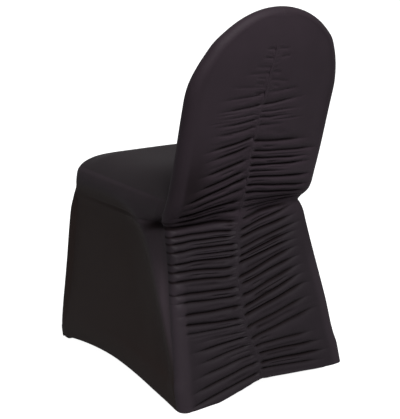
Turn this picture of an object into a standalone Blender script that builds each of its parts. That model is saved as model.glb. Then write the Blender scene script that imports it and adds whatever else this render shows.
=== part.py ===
"""Black stretch-cloth cover for a round-topped banquet chair, gathered along the back's centre seam.

The cover stands as it is worn, stretched over a chair that is left out. X runs across the chair,
+Y is the chair's back and +Z is up. The origin is on the floor under the middle of the cover.
Lengths are in millimetres until a mesh is made, and y is measured from the middle of the feet.
"""
import math
from collections import namedtuple

import bmesh
import bpy
from mathutils import Vector

METRES_PER_MM = 0.001

# The cloth and its seams: a seam is a gap between two edges that are turned in
CLOTH_THICKNESS = 1.6
SEAM_GAP = 0.3
SEAM_ALLOWANCE = 4.0
CLOTH_COLOUR = (0.022, 0.017, 0.020, 1.0)
CLOTH_ROUGHNESS = 0.62

# Overall sizes
OVERALL_HEIGHT = 904.0
BACK_OVERHANG = 25.0
BOX_CENTRE_Y = BACK_OVERHANG / 2
HEM_CLEARANCE = 1.0

# The back: a padded slab with a domed top, and a rim that is a half circle in section
BACK_HALF_WIDTH = 214.0
BACK_THICKNESS = 41.0
RIM_RADIUS = BACK_THICKNESS / 2
INNER_RIM_ANGLE = 160.0
DOME_BASE_HEIGHT = 700.0
SHOULDER_HEIGHT = 820.0
SHOULDER_BULGE = 2.5
SHOULDER_REACH = 16.0
REAR_CROWN = 4.0
INSIDE_CROWN = 5.0
WAIST_HEIGHT = 412.0
WAIST_REACH = 50.0
WAIST_TILT = 9.0

# The seat, which is nearly flat in the middle and falls away at its sides
SEAT_HALF_WIDTH = 203.0
SEAT_EDGE_HEIGHT = 474.0
SEAT_BACK_HEIGHT = 470.0
SEAT_FRONT_Y = -262.0
SEAT_CROWN = 32.0
SEAT_CROWN_POWER = 5
SEAT_CROWN_FOOT = 405.0

# The legs' corners, and how far the rear panels go round them
CORNER_RADIUS = 12.0
LEG_WRAP = 20.0

# The hems: the height of each one's peak between two feet
REAR_HEM_PEAK = 22.0
REAR_HEM_REACH = {"left": 125.0, "right": 200.0}
SIDE_HEM_PEAK = 31.0
SIDE_HEM_CENTRE = -15.0
SIDE_HEM_HALF = 290.0
FRONT_HEM_PEAK = 26.0
HEM_ARCH_REACH = 200.0

# The side: how far the cloth draws in between the seat, the rear leg and the hem
SIDE_RECESS = 9.0
RIDGE_RISE = 2.0
RIDGE_SOFTNESS = 26.0

# The folds: their lines run at a slant over this reach from the seam, then level
FOLD_REACH = 195.0
FOLD_STRENGTH = 1.25
TROUGH_WIDTH = 4.6
FADE_IN = 16.0
FADE_OUT = 45.0

# The pockets that hold the chair's feet. Each leans with its leg: its top lies top_x and top_y off its foot.
POCKET_SIZE = 32.0
POCKET_HEIGHT = 26.0
POCKET_CHAMFER = 10.0
POCKET_WALL = 1.6
PocketPlace = namedtuple("PocketPlace", "name x y top_x top_y")
FOOT_POCKETS = (
    PocketPlace("rear", 225.5, 261.1, -0.6, -7.8),
    PocketPlace("front", 230.3, -262.1, 1.8, 0.4),
)

SIDES = {"left": 1.0, "right": -1.0}

# The rear's side edge from the hem up: pad is 0 at a leg's corner and 1 on the back's padded rim
Edge = namedtuple("Edge", "height half_width rear_y pad")
EDGE_LINE = (
    Edge(HEM_CLEARANCE, 246.0, 279.7, 0.0),
    Edge(45.0, 245.0, 267.0, 0.0),
    Edge(75.0, 239.0, 258.3, 0.0),
    Edge(120.0, 233.0, 245.3, 0.0),
    Edge(220.0, 221.0, 216.4, 0.0),
    Edge(320.0, 208.0, 187.5, 0.0),
    Edge(380.0, 202.0, 170.1, 0.0),
    Edge(395.0, 201.0, 165.8, 0.25),
    Edge(408.0, 202.0, 162.0, 1.0),
    Edge(418.0, 205.0, 164.5, 1.0),
    Edge(430.0, 210.0, 173.0, 1.0),
    Edge(445.0, 213.5, 184.0, 1.0),
    Edge(470.0, BACK_HALF_WIDTH, 196.5, 1.0),
    Edge(700.0, 213.0, 260.0, 1.0),
)

# How far back the dome's edge stands
DomeFace = namedtuple("DomeFace", "height rear_y")
DOME_FACE = (
    DomeFace(700.0, 260.0),
    DomeFace(760.0, 277.0),
    DomeFace(800.0, 288.0),
    DomeFace(830.0, 295.0),
    DomeFace(860.0, 301.5),
    DomeFace(OVERALL_HEIGHT - RIM_RADIUS, 305.0),
)

# The gathered centre seam: offset is how far it wanders to the left
SeamPoint = namedtuple("SeamPoint", "height offset rear_y")
SEAM_LINE = (
    SeamPoint(REAR_HEM_PEAK, 13.0, 274.0),
    SeamPoint(70.0, 13.0, 260.5),
    SeamPoint(150.0, 31.0, 237.8),
    SeamPoint(260.0, 32.0, 206.6),
    SeamPoint(330.0, 16.0, 187.6),
    SeamPoint(385.0, 8.0, 176.0),
    SeamPoint(415.0, 6.0, 176.0),
    SeamPoint(440.0, 6.0, 185.0),
    SeamPoint(480.0, 6.0, 202.0),
    SeamPoint(600.0, 8.0, 236.5),
    SeamPoint(700.0, 6.0, 263.5),
    SeamPoint(815.0, 0.0, 293.5),
    SeamPoint(OVERALL_HEIGHT - RIM_RADIUS, 0.0, 305.0),
)

# The front legs' corners
FrontEdge = namedtuple("FrontEdge", "height half_width front_y")
FRONT_EDGE = (
    FrontEdge(HEM_CLEARANCE, 249.0, -280.0),
    FrontEdge(34.0, 252.0, -279.4),
    FrontEdge(91.0, 248.0, -278.0),
    FrontEdge(147.0, 242.0, -276.6),
    FrontEdge(230.0, 233.0, -274.6),
    FrontEdge(300.0, 226.5, -272.9),
    FrontEdge(360.0, 219.5, -271.4),
    FrontEdge(393.0, 211.0, -270.5),
    FrontEdge(419.0, 204.0, -270.0),
    FrontEdge(450.0, 203.5, -268.0),
    FrontEdge(SEAT_EDGE_HEIGHT, SEAT_HALF_WIDTH, SEAT_FRONT_Y),
)

# The ridge that the stretched cloth makes on a side. It leaves the side past the front leg.
RidgePoint = namedtuple("RidgePoint", "y height")
RIDGE_LINE = (
    RidgePoint(-330.0, 40.0),
    RidgePoint(-330.0, 300.0),
    RidgePoint(-320.0, 405.0),
    RidgePoint(-262.0, 435.0),
    RidgePoint(-199.0, 442.0),
    RidgePoint(-123.0, 444.0),
    RidgePoint(-61.0, 439.0),
    RidgePoint(-15.0, 428.0),
    RidgePoint(12.0, 414.0),
    RidgePoint(56.0, 375.0),
    RidgePoint(94.0, 318.0),
    RidgePoint(142.0, 235.0),
    RidgePoint(188.0, 150.0),
    RidgePoint(233.0, 83.0),
    RidgePoint(262.0, 30.0),
)

# Each fold is a sunken line. Its heights are at the centre seam and at the side of the back,
# and it begins and ends at these distances from the seam.
Fold = namedtuple("Fold", "seam_height side_height begins ends depth")
FOLDS = {
    "left": (
        Fold(38.0, 7.0, 8, 200, 4.5),
        Fold(63.0, 35.0, 10, 190, 4.5),
        Fold(83.0, 65.0, 15, 170, 4.0),
        Fold(108.0, 94.0, 20, 150, 4.0),
        Fold(127.0, 124.0, 15, 150, 4.5),
        Fold(139.0, 146.0, 20, 130, 2.0),
        Fold(157.0, 167.0, 15, 200, 3.5),
        Fold(169.0, 187.0, 15, 200, 5.0),
        Fold(200.0, 208.0, 12, 190, 5.0),
        Fold(223.0, 236.0, 12, 200, 4.5),
        Fold(242.0, 254.0, 10, 205, 5.0),
        Fold(270.0, 283.0, 15, 205, 5.0),
        Fold(289.0, 304.0, 15, 210, 5.0),
        Fold(313.0, 322.0, 10, 205, 5.0),
        Fold(327.0, 334.0, 10, 140, 4.0),
        Fold(341.0, 347.0, 10, 205, 5.0),
        Fold(360.0, 366.0, 20, 210, 5.0),
        Fold(372.0, 381.0, 15, 205, 5.0),
        Fold(394.0, 401.0, 15, 230, 5.5),
        Fold(424.0, 413.0, 10, 175, 5.0),
        Fold(449.0, 427.0, 15, 190, 6.0),
        Fold(480.0, 440.0, 10, 150, 4.5),
        Fold(506.0, 457.0, 5, 175, 6.0),
        Fold(527.0, 482.0, 18, 150, 5.5),
        Fold(555.0, 516.0, 15, 150, 5.5),
        Fold(587.0, 552.0, 15, 125, 5.0),
        Fold(607.0, 577.0, 5, 140, 5.0),
        Fold(633.0, 615.0, 10, 110, 3.5),
        Fold(652.0, 634.0, 8, 95, 4.0),
        Fold(664.0, 654.0, 20, 90, 2.5),
        Fold(685.0, 668.0, 5, 100, 4.5),
        Fold(709.0, 696.0, 10, 100, 3.0),
    ),
    "right": (
        Fold(46.0, 22.0, 5, 180, 3.5),
        Fold(59.0, 44.0, 5, 195, 5.0),
        Fold(81.0, 70.0, 8, 190, 4.5),
        Fold(100.0, 97.0, 5, 175, 4.0),
        Fold(118.0, 149.0, 5, 200, 4.5),
        Fold(146.0, 180.0, 5, 190, 4.5),
        Fold(175.0, 213.0, 5, 195, 5.5),
        Fold(193.0, 238.0, 8, 180, 5.5),
        Fold(219.0, 260.0, 8, 180, 5.0),
        Fold(246.0, 282.0, 15, 180, 5.0),
        Fold(262.0, 306.0, 8, 175, 5.5),
        Fold(297.0, 325.0, 8, 165, 5.5),
        Fold(310.0, 345.0, 8, 165, 5.5),
        Fold(327.0, 362.0, 8, 180, 4.5),
        Fold(352.0, 380.0, 15, 170, 5.5),
        Fold(368.0, 400.0, 18, 165, 5.0),
        Fold(396.0, 409.0, 15, 140, 4.5),
        Fold(427.0, 420.0, 15, 190, 4.0),
        Fold(445.0, 430.0, 12, 180, 4.5),
        Fold(468.0, 444.0, 8, 200, 5.5),
        Fold(487.0, 463.0, 8, 200, 5.5),
        Fold(508.0, 491.0, 10, 200, 5.5),
        Fold(523.0, 505.0, 8, 110, 4.0),
        Fold(537.0, 527.0, 8, 175, 5.5),
        Fold(557.0, 540.0, 5, 165, 5.0),
        Fold(574.0, 560.0, 12, 195, 4.5),
        Fold(599.0, 586.0, 5, 150, 5.0),
        Fold(637.0, 633.0, 8, 70, 3.0),
        Fold(655.0, 654.0, 5, 80, 4.0),
        Fold(668.0, 667.0, 8, 100, 3.0),
        Fold(684.0, 700.0, 5, 100, 5.0),
    ),
}

# Short puckers over the dome, on both halves
PUCKERS = (
    Fold(712.0, 712.0, 5, 90, 4.5),
    Fold(735.8, 735.8, 5, 100, 4.0),
    Fold(759.0, 759.0, 4, 75, 4.0),
    Fold(791.8, 791.8, 4, 50, 3.0),
    Fold(811.7, 811.7, 3, 50, 2.5),
)

# A spot of a seam: outward is the way out of the cloth, along the way across to the next panel
Frame = namedtuple("Frame", "point outward along")

# Where rows and columns of points lie, closest where the cloth bends most
RIM_ANGLES = (38.0, 76.0, 108.0, 140.0)
DOME_ANGLES = (
    3.75, 7.5, 11.25, 15.0, 18.75, 22.5, 26.25, 30.0, 33.75, 37.5, 41.25, 45.0,
    52.5, 60.0, 67.5, 75.0, 82.5, 90.0,
)
BACK_ROW_HEIGHTS = (530.0, 590.0, 645.0)
ROW_SPACING = 4.5
LEAST_STEP = 0.6
FACE_SHARES = (0.0, 0.09, 0.25, 0.42, 0.6, 0.8, 1.0)
ACROSS_SHARES = (-0.92, -0.78, -0.53, -0.26, 0.0, 0.26, 0.53, 0.78, 0.92)
SEAT_SHARES = (0.0, 0.04, 0.1, 0.22, 0.35, 0.5, 0.64, 0.77, 0.88, 0.95, 0.98, 1.0)
SIDE_SHARES = (0.04, 0.1, 0.17, 0.25, 0.34, 0.43, 0.52, 0.61, 0.7, 0.79, 0.87, 0.94)
SideRow = namedtuple("SideRow", "rear_height front_height")
SIDE_ROWS = (
    SideRow(445.0, 450.0),
    SideRow(430.0, 434.0),
    SideRow(418.0, 419.0),
    SideRow(408.0, 406.0),
    SideRow(395.0, 393.0),
    SideRow(380.0, 376.0),
    SideRow(350.0, 360.0),
    SideRow(320.0, 330.0),
    SideRow(270.0, 300.0),
    SideRow(220.0, 230.0),
    SideRow(170.0, 188.0),
    SideRow(120.0, 147.0),
    SideRow(75.0, 91.0),
    SideRow(45.0, 34.0),
    SideRow(HEM_CLEARANCE, HEM_CLEARANCE),
)


def mix(start, end, share):
    """A value between start and end, at share 0 to 1."""
    return start + (end - start) * share


def smooth(low, high, value):
    """An easy rise from 0 at low to 1 at high."""
    share = min(1.0, max(0.0, (value - low) / (high - low)))
    return share * share * (3.0 - 2.0 * share)


def read_table(table, key, column, value):
    """The column's value, read between the table's rows at the given key."""
    if value <= getattr(table[0], key):
        return getattr(table[0], column)
    for lower, upper in zip(table, table[1:]):
        if value <= getattr(upper, key):
            share = (value - getattr(lower, key)) / (getattr(upper, key) - getattr(lower, key))
            return mix(getattr(lower, column), getattr(upper, column), share)
    return getattr(table[-1], column)


def dome_angle(height):
    """The angle round the dome, 0 at its base and 90 degrees at the top, of a height inside the rim."""
    rise = (height - DOME_BASE_HEIGHT) / (OVERALL_HEIGHT - RIM_RADIUS - DOME_BASE_HEIGHT)
    return math.asin(min(1.0, max(0.0, rise)))


def dome_height(angle):
    """The height inside the rim at an angle round the dome."""
    return DOME_BASE_HEIGHT + (OVERALL_HEIGHT - RIM_RADIUS - DOME_BASE_HEIGHT) * math.sin(angle)


def face_half_width(height):
    """The half-width of the flat rear face, inside the rounded rim or leg corner."""
    if height > DOME_BASE_HEIGHT:
        inner = EDGE_LINE[-1].half_width - RIM_RADIUS
        bulge = SHOULDER_BULGE * math.exp(-(((height - SHOULDER_HEIGHT) / SHOULDER_REACH) ** 2))
        return inner * math.cos(dome_angle(height)) + bulge
    pad = read_table(EDGE_LINE, "height", "pad", height)
    return read_table(EDGE_LINE, "height", "half_width", height) - mix(CORNER_RADIUS, RIM_RADIUS, pad)


def face_edge_y(height):
    """How far back the rear face stands at its side edges."""
    if height > DOME_BASE_HEIGHT:
        return read_table(DOME_FACE, "height", "rear_y", height)
    return read_table(EDGE_LINE, "height", "rear_y", height)


def wrap_point(side, height, across, forward):
    """A point on the rounded edge, this far outwards and forwards from the rear face's edge."""
    angle = dome_angle(height)
    x = side * (face_half_width(height) + across * math.cos(angle))
    return Vector((x, face_edge_y(height) - forward, height + across * math.sin(angle)))


def wrap_offsets(height):
    """Steps round the edge: round the back's rim, or round the leg's corner and along its side."""
    pad = read_table(EDGE_LINE, "height", "pad", height)
    rim = [(RIM_RADIUS * math.sin(math.radians(a)), RIM_RADIUS * (1.0 - math.cos(math.radians(a))))
           for a in RIM_ANGLES]
    quarter = CORNER_RADIUS * math.sqrt(0.5)
    leg = [(quarter, CORNER_RADIUS - quarter), (CORNER_RADIUS, CORNER_RADIUS),
           (CORNER_RADIUS, (CORNER_RADIUS + LEG_WRAP) / 2), (CORNER_RADIUS, LEG_WRAP)]
    return [(mix(c[0], r[0], pad), mix(c[1], r[1], pad)) for c, r in zip(leg, rim)]


def wrap_frame(side, height):
    """The seam frame where the edge's wrap ends and the next panel begins."""
    across, forward = wrap_offsets(height)[-1]
    pad = read_table(EDGE_LINE, "height", "pad", height)
    turn = math.radians(mix(90.0, RIM_ANGLES[-1], pad))
    angle = dome_angle(height)
    side_part = math.sin(turn)
    outward = Vector((side * side_part * math.cos(angle), math.cos(turn), side_part * math.sin(angle)))
    across_part = math.cos(turn)
    along = Vector((side * across_part * math.cos(angle), -side_part, across_part * math.sin(angle)))
    return Frame(wrap_point(side, height, across, forward), outward.normalized(), along.normalized())


def line_height(side, seam_height, side_height, distance):
    """The height of a row or a fold at a distance from the centre seam."""
    width = abs(side * face_half_width(side_height) - seam_x(seam_height))
    return mix(seam_height, side_height, min(1.0, distance / min(FOLD_REACH, width)))


def fold_relief(side_name, distance, height):
    """How far the cloth sinks at a spot of the rear face: a sharp trough for each fold near it."""
    relief = 0.0
    for fold in FOLDS[side_name] + PUCKERS:
        away = abs(height - line_height(SIDES[side_name], fold.seam_height, fold.side_height, distance))
        if away < 6.0 * TROUGH_WIDTH:
            strength = smooth(fold.begins - FADE_IN, fold.begins + FADE_IN, distance)
            strength *= 1.0 - smooth(fold.ends - FADE_OUT, fold.ends, distance)
            relief -= FOLD_STRENGTH * fold.depth * strength * math.exp(-away / TROUGH_WIDTH)
    return relief


def seam_x(height):
    """How far the centre seam wanders to the left at a height."""
    return read_table(SEAM_LINE, "height", "offset", height)


def rear_face_y(side, share, height):
    """The rear face before its folds: the seam bridges the waist, and the sides follow the chair."""
    waist_tilt = WAIST_TILT * side * share * math.exp(-(((height - WAIST_HEIGHT) / WAIST_REACH) ** 2))
    waist_tilt *= 1.0 - smooth(0.7, 1.0, share)
    edge_y = face_edge_y(height + waist_tilt)
    seam_y = read_table(SEAM_LINE, "height", "rear_y", height)
    crown = REAR_CROWN * (1.0 - share * share)
    crown *= smooth(430.0, 520.0, height) * (1.0 - smooth(800.0, 880.0, height))
    return mix(seam_y, edge_y + crown, smooth(0.03, 0.40, share))


def read_pairs(pairs, source, target, value):
    """The height at one end of a row, from the height at its other end."""
    for lower, upper in zip(pairs, pairs[1:]):
        if value <= upper[source]:
            share = (value - lower[source]) / (upper[source] - lower[source])
            return mix(lower[target], upper[target], share)
    return pairs[-1][target]


def rear_rows(side_name):
    """Pairs of heights, at the seam and at the side, for every row of a rear panel, from the hem up."""
    pairs = [(REAR_HEM_PEAK, HEM_CLEARANCE)]
    pairs += [(fold.seam_height, fold.side_height) for fold in FOLDS[side_name]]
    pairs += [(height, height) for height in dome_rows()]
    rows = pairs + [(read_pairs(pairs, 1, 0, height), height) for height in fixed_side_heights()]
    rows += [(point.height, read_pairs(pairs, 0, 1, point.height)) for point in SEAM_LINE]
    for low, high in zip(pairs, pairs[1:]):
        middle = ((low[0] + high[0]) / 2, (low[1] + high[1]) / 2)
        roomy = all(abs(middle[0] - row[0]) > ROW_SPACING for row in rows)
        if roomy and middle[1] < DOME_BASE_HEIGHT:
            rows.append(middle)
    rows.sort()
    kept = rows[:1]
    for row in rows[1:]:
        if row[0] - kept[-1][0] > LEAST_STEP and row[1] - kept[-1][1] > LEAST_STEP:
            kept.append(row)
    return kept


def dome_rows():
    """The heights of the rows over the dome, from just above its base to the top."""
    return [dome_height(math.radians(degrees)) for degrees in DOME_ANGLES]


def fixed_side_heights():
    """The heights that the side seam's bends need on both panels that meet there."""
    return [edge.height for edge in EDGE_LINE] + list(BACK_ROW_HEIGHTS)


def rear_point(side_name, row, share):
    """A point of the rear face, at a share of the way from the seam to the side edge."""
    side = SIDES[side_name]
    start = seam_x(row[0])
    x = mix(start + side * SEAM_GAP / 2, side * face_half_width(row[1]), share)
    distance = abs(x - start)
    height = line_height(side, row[0], row[1], distance)
    if row[0] <= REAR_HEM_PEAK:
        fall = max(0.0, 1.0 - distance / REAR_HEM_REACH[side_name])
        height = mix(HEM_CLEARANCE, REAR_HEM_PEAK, fall ** 1.2)
    relief = fold_relief(side_name, distance, height) * (1.0 - smooth(0.93, 1.0, share))
    return Vector((x, rear_face_y(side, share, height) + relief, height))


def rear_normal(height):
    """The way out of the rear face at the centre seam."""
    if height >= OVERALL_HEIGHT - RIM_RADIUS:
        return Vector((0.0, 1.0, 0.0))
    low = read_table(SEAM_LINE, "height", "rear_y", height - SEAM_ALLOWANCE)
    high = read_table(SEAM_LINE, "height", "rear_y", height + SEAM_ALLOWANCE)
    return Vector((0.0, 2 * SEAM_ALLOWANCE, low - high)).normalized()


def rim_normal(degrees):
    """The way out of the rim over the top of the back, at an angle round it."""
    angle = math.radians(degrees)
    return Vector((0.0, math.cos(angle), math.sin(angle)))


def side_frame(side, height):
    """The seam along the side of a rear panel, with one shared frame where the seat's seam joins it."""
    frame = wrap_frame(side, height)
    if height != SEAT_BACK_HEIGHT:
        return frame
    outward = Vector((side * 0.72, -0.52, 0.46)).normalized()
    along = frame.along - outward * frame.along.dot(outward)
    return Frame(frame.point, outward, along.normalized())


def seat_frame(side, share):
    """The seam along the seat's edge, from the back at share 0 to the front corner at share 1."""
    back = wrap_frame(side, SEAT_BACK_HEIGHT).point
    corner = front_frame(side, SEAT_EDGE_HEIGHT).point
    outward = Vector((side, 0.0, 1.0)).normalized()
    along = Vector((side, 0.0, -1.0)).normalized()
    return Frame(back.lerp(corner, share), outward, along)


def front_frame(side, height):
    """The seam down a front leg's corner."""
    inset = CORNER_RADIUS * (1.0 - math.sqrt(0.5))
    x = read_table(FRONT_EDGE, "height", "half_width", height) - inset
    y = read_table(FRONT_EDGE, "height", "front_y", height) + inset
    point = Vector((side * x, y, height))
    if height >= SEAT_EDGE_HEIGHT:
        outward = Vector((side, -1.0, 1.0)).normalized()
        return Frame(point, outward, Vector((2.0 * side, 1.0, -1.0)).normalized())
    return Frame(point, Vector((side, -1.0, 0.0)).normalized(), Vector((side, 1.0, 0.0)).normalized())


def rounded(end, inward, outward):
    """Two more points of a rounded corner, from the seam in its middle to where the flat begins."""
    quarter = CORNER_RADIUS * (1.0 - math.sqrt(0.5))
    eighth = math.radians(22.5)
    middle = end + inward * (CORNER_RADIUS * (1.0 - math.sin(eighth)) - quarter)
    middle += outward * (quarter - CORNER_RADIUS * (1.0 - math.cos(eighth)))
    return [middle, end + inward * (CORNER_RADIUS - quarter) + outward * quarter]


def seam_edge(frame, direction):
    """A sewn edge's point: half the seam's gap from the seam's line."""
    return frame.point + frame.along * (direction * SEAM_GAP / 2)


def seat_corner(side, direction):
    """The corner beside the back, where the seat's seam meets the back's side seam."""
    back = side_frame(side, SEAT_BACK_HEIGHT)
    seat = seat_frame(side, 0.0)
    return seam_edge(back, 1.0) + seat.along * (direction * SEAM_GAP / 2)


class Sheet:
    """A sheet of cloth: rows of points, with the edges that are sewn turned in along their seams.

    It is lofted row by row, because its sections differ from row to row and the folds follow the rows.
    """

    def __init__(self, name):
        self.name = name
        self.bm = bmesh.new()
        self.corners = {}

    def corner(self, point):
        """The vertex at a point, shared by every face that meets there."""
        key = tuple(round(value, 3) for value in point)
        if key not in self.corners:
            placed = Vector(point) - Vector((0.0, BOX_CENTRE_Y, 0.0))
            self.corners[key] = self.bm.verts.new(placed * METRES_PER_MM)
        return self.corners[key]

    def join(self, rows):
        """Faces between rows of points, leaving out the corners that coincide."""
        for lower, upper in zip(rows, rows[1:]):
            for i in range(len(lower) - 1):
                ring = [lower[i], lower[i + 1], upper[i + 1], upper[i]]
                corners = list(dict.fromkeys(self.corner(point) for point in ring))
                if len(corners) > 2:
                    self.bm.faces.new(corners)

    def turn_in(self, points, outwards):
        """A seam allowance: a strip that goes straight in from a sewn edge."""
        inner = [point - outward * SEAM_ALLOWANCE for point, outward in zip(points, outwards)]
        self.join([points, inner])

    def finish(self, collection, facing):
        """Makes the object, with its outer face on the given side, and gives the cloth its thickness."""
        bmesh.ops.recalc_face_normals(self.bm, faces=self.bm.faces)
        facing_sum = sum((face.normal * face.calc_area() for face in self.bm.faces), Vector())
        if facing_sum.dot(Vector(facing)) < 0.0:
            bmesh.ops.reverse_faces(self.bm, faces=self.bm.faces)
        mesh = bpy.data.meshes.new(self.name)
        self.bm.to_mesh(mesh)
        self.bm.free()
        mesh.shade_smooth()
        sheet = bpy.data.objects.new(self.name, mesh)
        collection.objects.link(sheet)
        solidify = sheet.modifiers.new("cloth thickness", "SOLIDIFY")
        solidify.thickness = CLOTH_THICKNESS * METRES_PER_MM
        solidify.offset = -1.0
        mesh.materials.append(cloth_material(self.name))
        return sheet


def cloth_material(name):
    """Near-black stretch cloth with a soft sheen."""
    material = bpy.data.materials.new(name + "_cloth")
    material.use_nodes = True
    shader = material.node_tree.nodes["Principled BSDF"]
    shader.inputs["Base Color"].default_value = CLOTH_COLOUR
    shader.inputs["Roughness"].default_value = CLOTH_ROUGHNESS
    shader.inputs["Metallic"].default_value = 0.0
    return material


def make_rear_panel(side_name, collection):
    """One gathered half of the back, from the dome down to the rear hem and round to its side seam."""
    side = SIDES[side_name]
    sheet = Sheet("rear_panel_" + side_name)
    rows = rear_rows(side_name)
    frames = [side_frame(side, row[1]) for row in rows]
    grid = []
    for row, frame in zip(rows, frames):
        line = [rear_point(side_name, row, share) for share in FACE_SHARES]
        line += [wrap_point(side, row[1], *offset) for offset in wrap_offsets(row[1])[:-1]]
        grid.append(line + [seam_edge(frame, -1.0)])
    grid[-1] = [Vector((side * SEAM_GAP / 2, point.y, point.z)) for point in grid[-1]]
    sheet.join(grid)
    centre = [line[0] for line in grid] + grid[-1][len(FACE_SHARES):]
    outwards = [rear_normal(row[0]) for row in rows] + [rim_normal(angle) for angle in RIM_ANGLES]
    sheet.turn_in(centre, outwards)
    sheet.turn_in([line[-1] for line in grid], [frame.outward for frame in frames])
    return sheet.finish(collection, (0.0, 1.0, 0.0))


def across_row(ends, outward, crown, arch=0.0):
    """A row across the front panel: a rounded corner at each end, and a middle lifted by crown and arch."""
    right = rounded(ends[0], Vector((1.0, 0.0, 0.0)), outward)
    left = rounded(ends[1], Vector((-1.0, 0.0, 0.0)), outward)
    middle = []
    for share in ACROSS_SHARES:
        point = right[1].lerp(left[1], (share + 1.0) / 2)
        point.z += crown * (1.0 - abs(share) ** SEAT_CROWN_POWER) + arch * (1.0 - share * share)
        middle.append(point)
    return [ends[0]] + right + middle + left[::-1] + [ends[1]]


def inside_back_rows():
    """Rows of the front panel down the inside of the back, from the top to just above the seat."""
    rows, frames = [], []
    for height in dome_rows()[::-1] + [DOME_BASE_HEIGHT] + sorted(BACK_ROW_HEIGHTS, reverse=True):
        pair = [side_frame(side, height) for side in (-1.0, 1.0)]
        half = face_half_width(height)
        inner_y = face_edge_y(height) - BACK_THICKNESS
        turn = math.radians(INNER_RIM_ANGLE)
        bends = [wrap_point(side, height, RIM_RADIUS * math.sin(turn), RIM_RADIUS * (1.0 - math.cos(turn)))
                 for side in (-1.0, 1.0)]
        line = [seam_edge(pair[0], 1.0), bends[0], Vector((-half, inner_y, height))]
        line += [Vector((half * share, inner_y - INSIDE_CROWN * (1.0 - share * share), height))
                 for share in ACROSS_SHARES]
        line += [Vector((half, inner_y, height)), bends[1], seam_edge(pair[1], 1.0)]
        rows.append(line)
        frames.append(pair)
    rows[0] = [Vector((0.0, point.y, point.z)) for point in rows[0]]
    for point in rows[0][2:-2]:
        point.y = face_edge_y(OVERALL_HEIGHT) - BACK_THICKNESS
    return rows, frames


def seat_rows():
    """Rows of the front panel over the seat, from the crease at the back to the front corners."""
    rows, frames = [], []
    up = Vector((0.0, 0.0, 1.0))
    for seat_share in SEAT_SHARES:
        pair = [seat_frame(side, seat_share) for side in (-1.0, 1.0)]
        ends = [seam_edge(frame, -1.0) for frame in pair]
        outward = up
        if seat_share == 0.0:
            pair = [side_frame(side, SEAT_BACK_HEIGHT) for side in (-1.0, 1.0)]
            ends = [seat_corner(side, -1.0) for side in (-1.0, 1.0)]
        if seat_share == 1.0:
            pair = [front_frame(side, SEAT_EDGE_HEIGHT) for side in (-1.0, 1.0)]
            ends = [seam_edge(frame, -1.0) for frame in pair]
            outward = Vector((0.0, -1.0, 1.0)).normalized()
        rows.append(across_row(ends, outward, SEAT_CROWN))
        frames.append(pair)
    return rows, frames


def front_skirt_rows():
    """Rows of the front panel down the front, from under the seat's edge to the hem."""
    rows, frames = [], []
    drops = [point.z for point in rounded(Vector(), Vector((0.0, 0.0, -1.0)), Vector((0.0, -1.0, 0.0)))]
    heights = [SEAT_EDGE_HEIGHT + drop for drop in drops] + [edge.height for edge in FRONT_EDGE[-2::-1]]
    for height in heights:
        pair = [front_frame(side, height) for side in (-1.0, 1.0)]
        ends = [seam_edge(frame, -1.0) for frame in pair]
        crown = SEAT_CROWN * smooth(SEAT_CROWN_FOOT, SEAT_EDGE_HEIGHT, height)
        arch = (FRONT_HEM_PEAK - HEM_CLEARANCE) * (1.0 - smooth(0.0, HEM_ARCH_REACH, height))
        rows.append(across_row(ends, Vector((0.0, -1.0, 0.0)), crown, arch))
        frames.append(pair)
    return rows, frames


def make_front_panel(collection):
    """The inside of the back, the seat and the front skirt in one length."""
    sheet = Sheet("front_panel")
    rows, frames = [], []
    for part_rows, part_frames in (inside_back_rows(), seat_rows(), front_skirt_rows()):
        rows += part_rows
        frames += part_frames
    sheet.join(rows)
    sheet.turn_in([row[0] for row in rows], [pair[0].outward for pair in frames])
    sheet.turn_in([row[-1] for row in rows], [pair[1].outward for pair in frames])
    return sheet.finish(collection, (0.0, -1.0, 0.3))


def ridge_distance(y, height):
    """How far a spot of the side lies inside the ridge, below zero outside it."""
    spot = Vector((y, height))
    nearest = 1000.0
    inside = False
    points = [Vector((point.y, point.height)) for point in RIDGE_LINE]
    for start, end in zip(points, points[1:]):
        run = end - start
        share = min(1.0, max(0.0, (spot - start).dot(run) / run.dot(run)))
        nearest = min(nearest, (spot - start - run * share).length)
    closed = points + [points[0]]
    for start, end in zip(closed, closed[1:]):
        if (start.y > height) != (end.y > height):
            crossing = mix(start.x, end.x, (height - start.y) / (end.y - start.y))
            inside = inside != (y < crossing)
    return nearest if inside else -nearest


def side_point(side, row, share):
    """A point of the side, at a share of the way from the rear seam to the front seam."""
    rear, front = wrap_frame(side, row[0]).point, front_frame(side, row[1]).point
    front_x = read_table(FRONT_EDGE, "height", "half_width", row[1])
    y = mix(rear.y, front.y, share)
    arch = max(0.0, 1.0 - abs((y - SIDE_HEM_CENTRE) / SIDE_HEM_HALF) ** 1.6)
    arch *= (SIDE_HEM_PEAK - HEM_CLEARANCE) * (1.0 - smooth(0.0, HEM_ARCH_REACH, row[0]))
    height = mix(row[0], row[1], share) + arch
    inside = ridge_distance(y, height)
    ridge = RIDGE_RISE * math.exp(-((inside / RIDGE_SOFTNESS) ** 2)) * smooth(0.0, 90.0, height)
    recess = SIDE_RECESS * smooth(0.0, 2 * RIDGE_SOFTNESS, inside) * smooth(0.0, 220.0, height)
    at_seams = smooth(0.0, 0.1, share) * smooth(0.0, 0.1, 1.0 - share)
    x = mix(abs(rear.x), front_x, share) + (ridge - recess) * at_seams
    return Vector((side * x, y, height))


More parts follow.
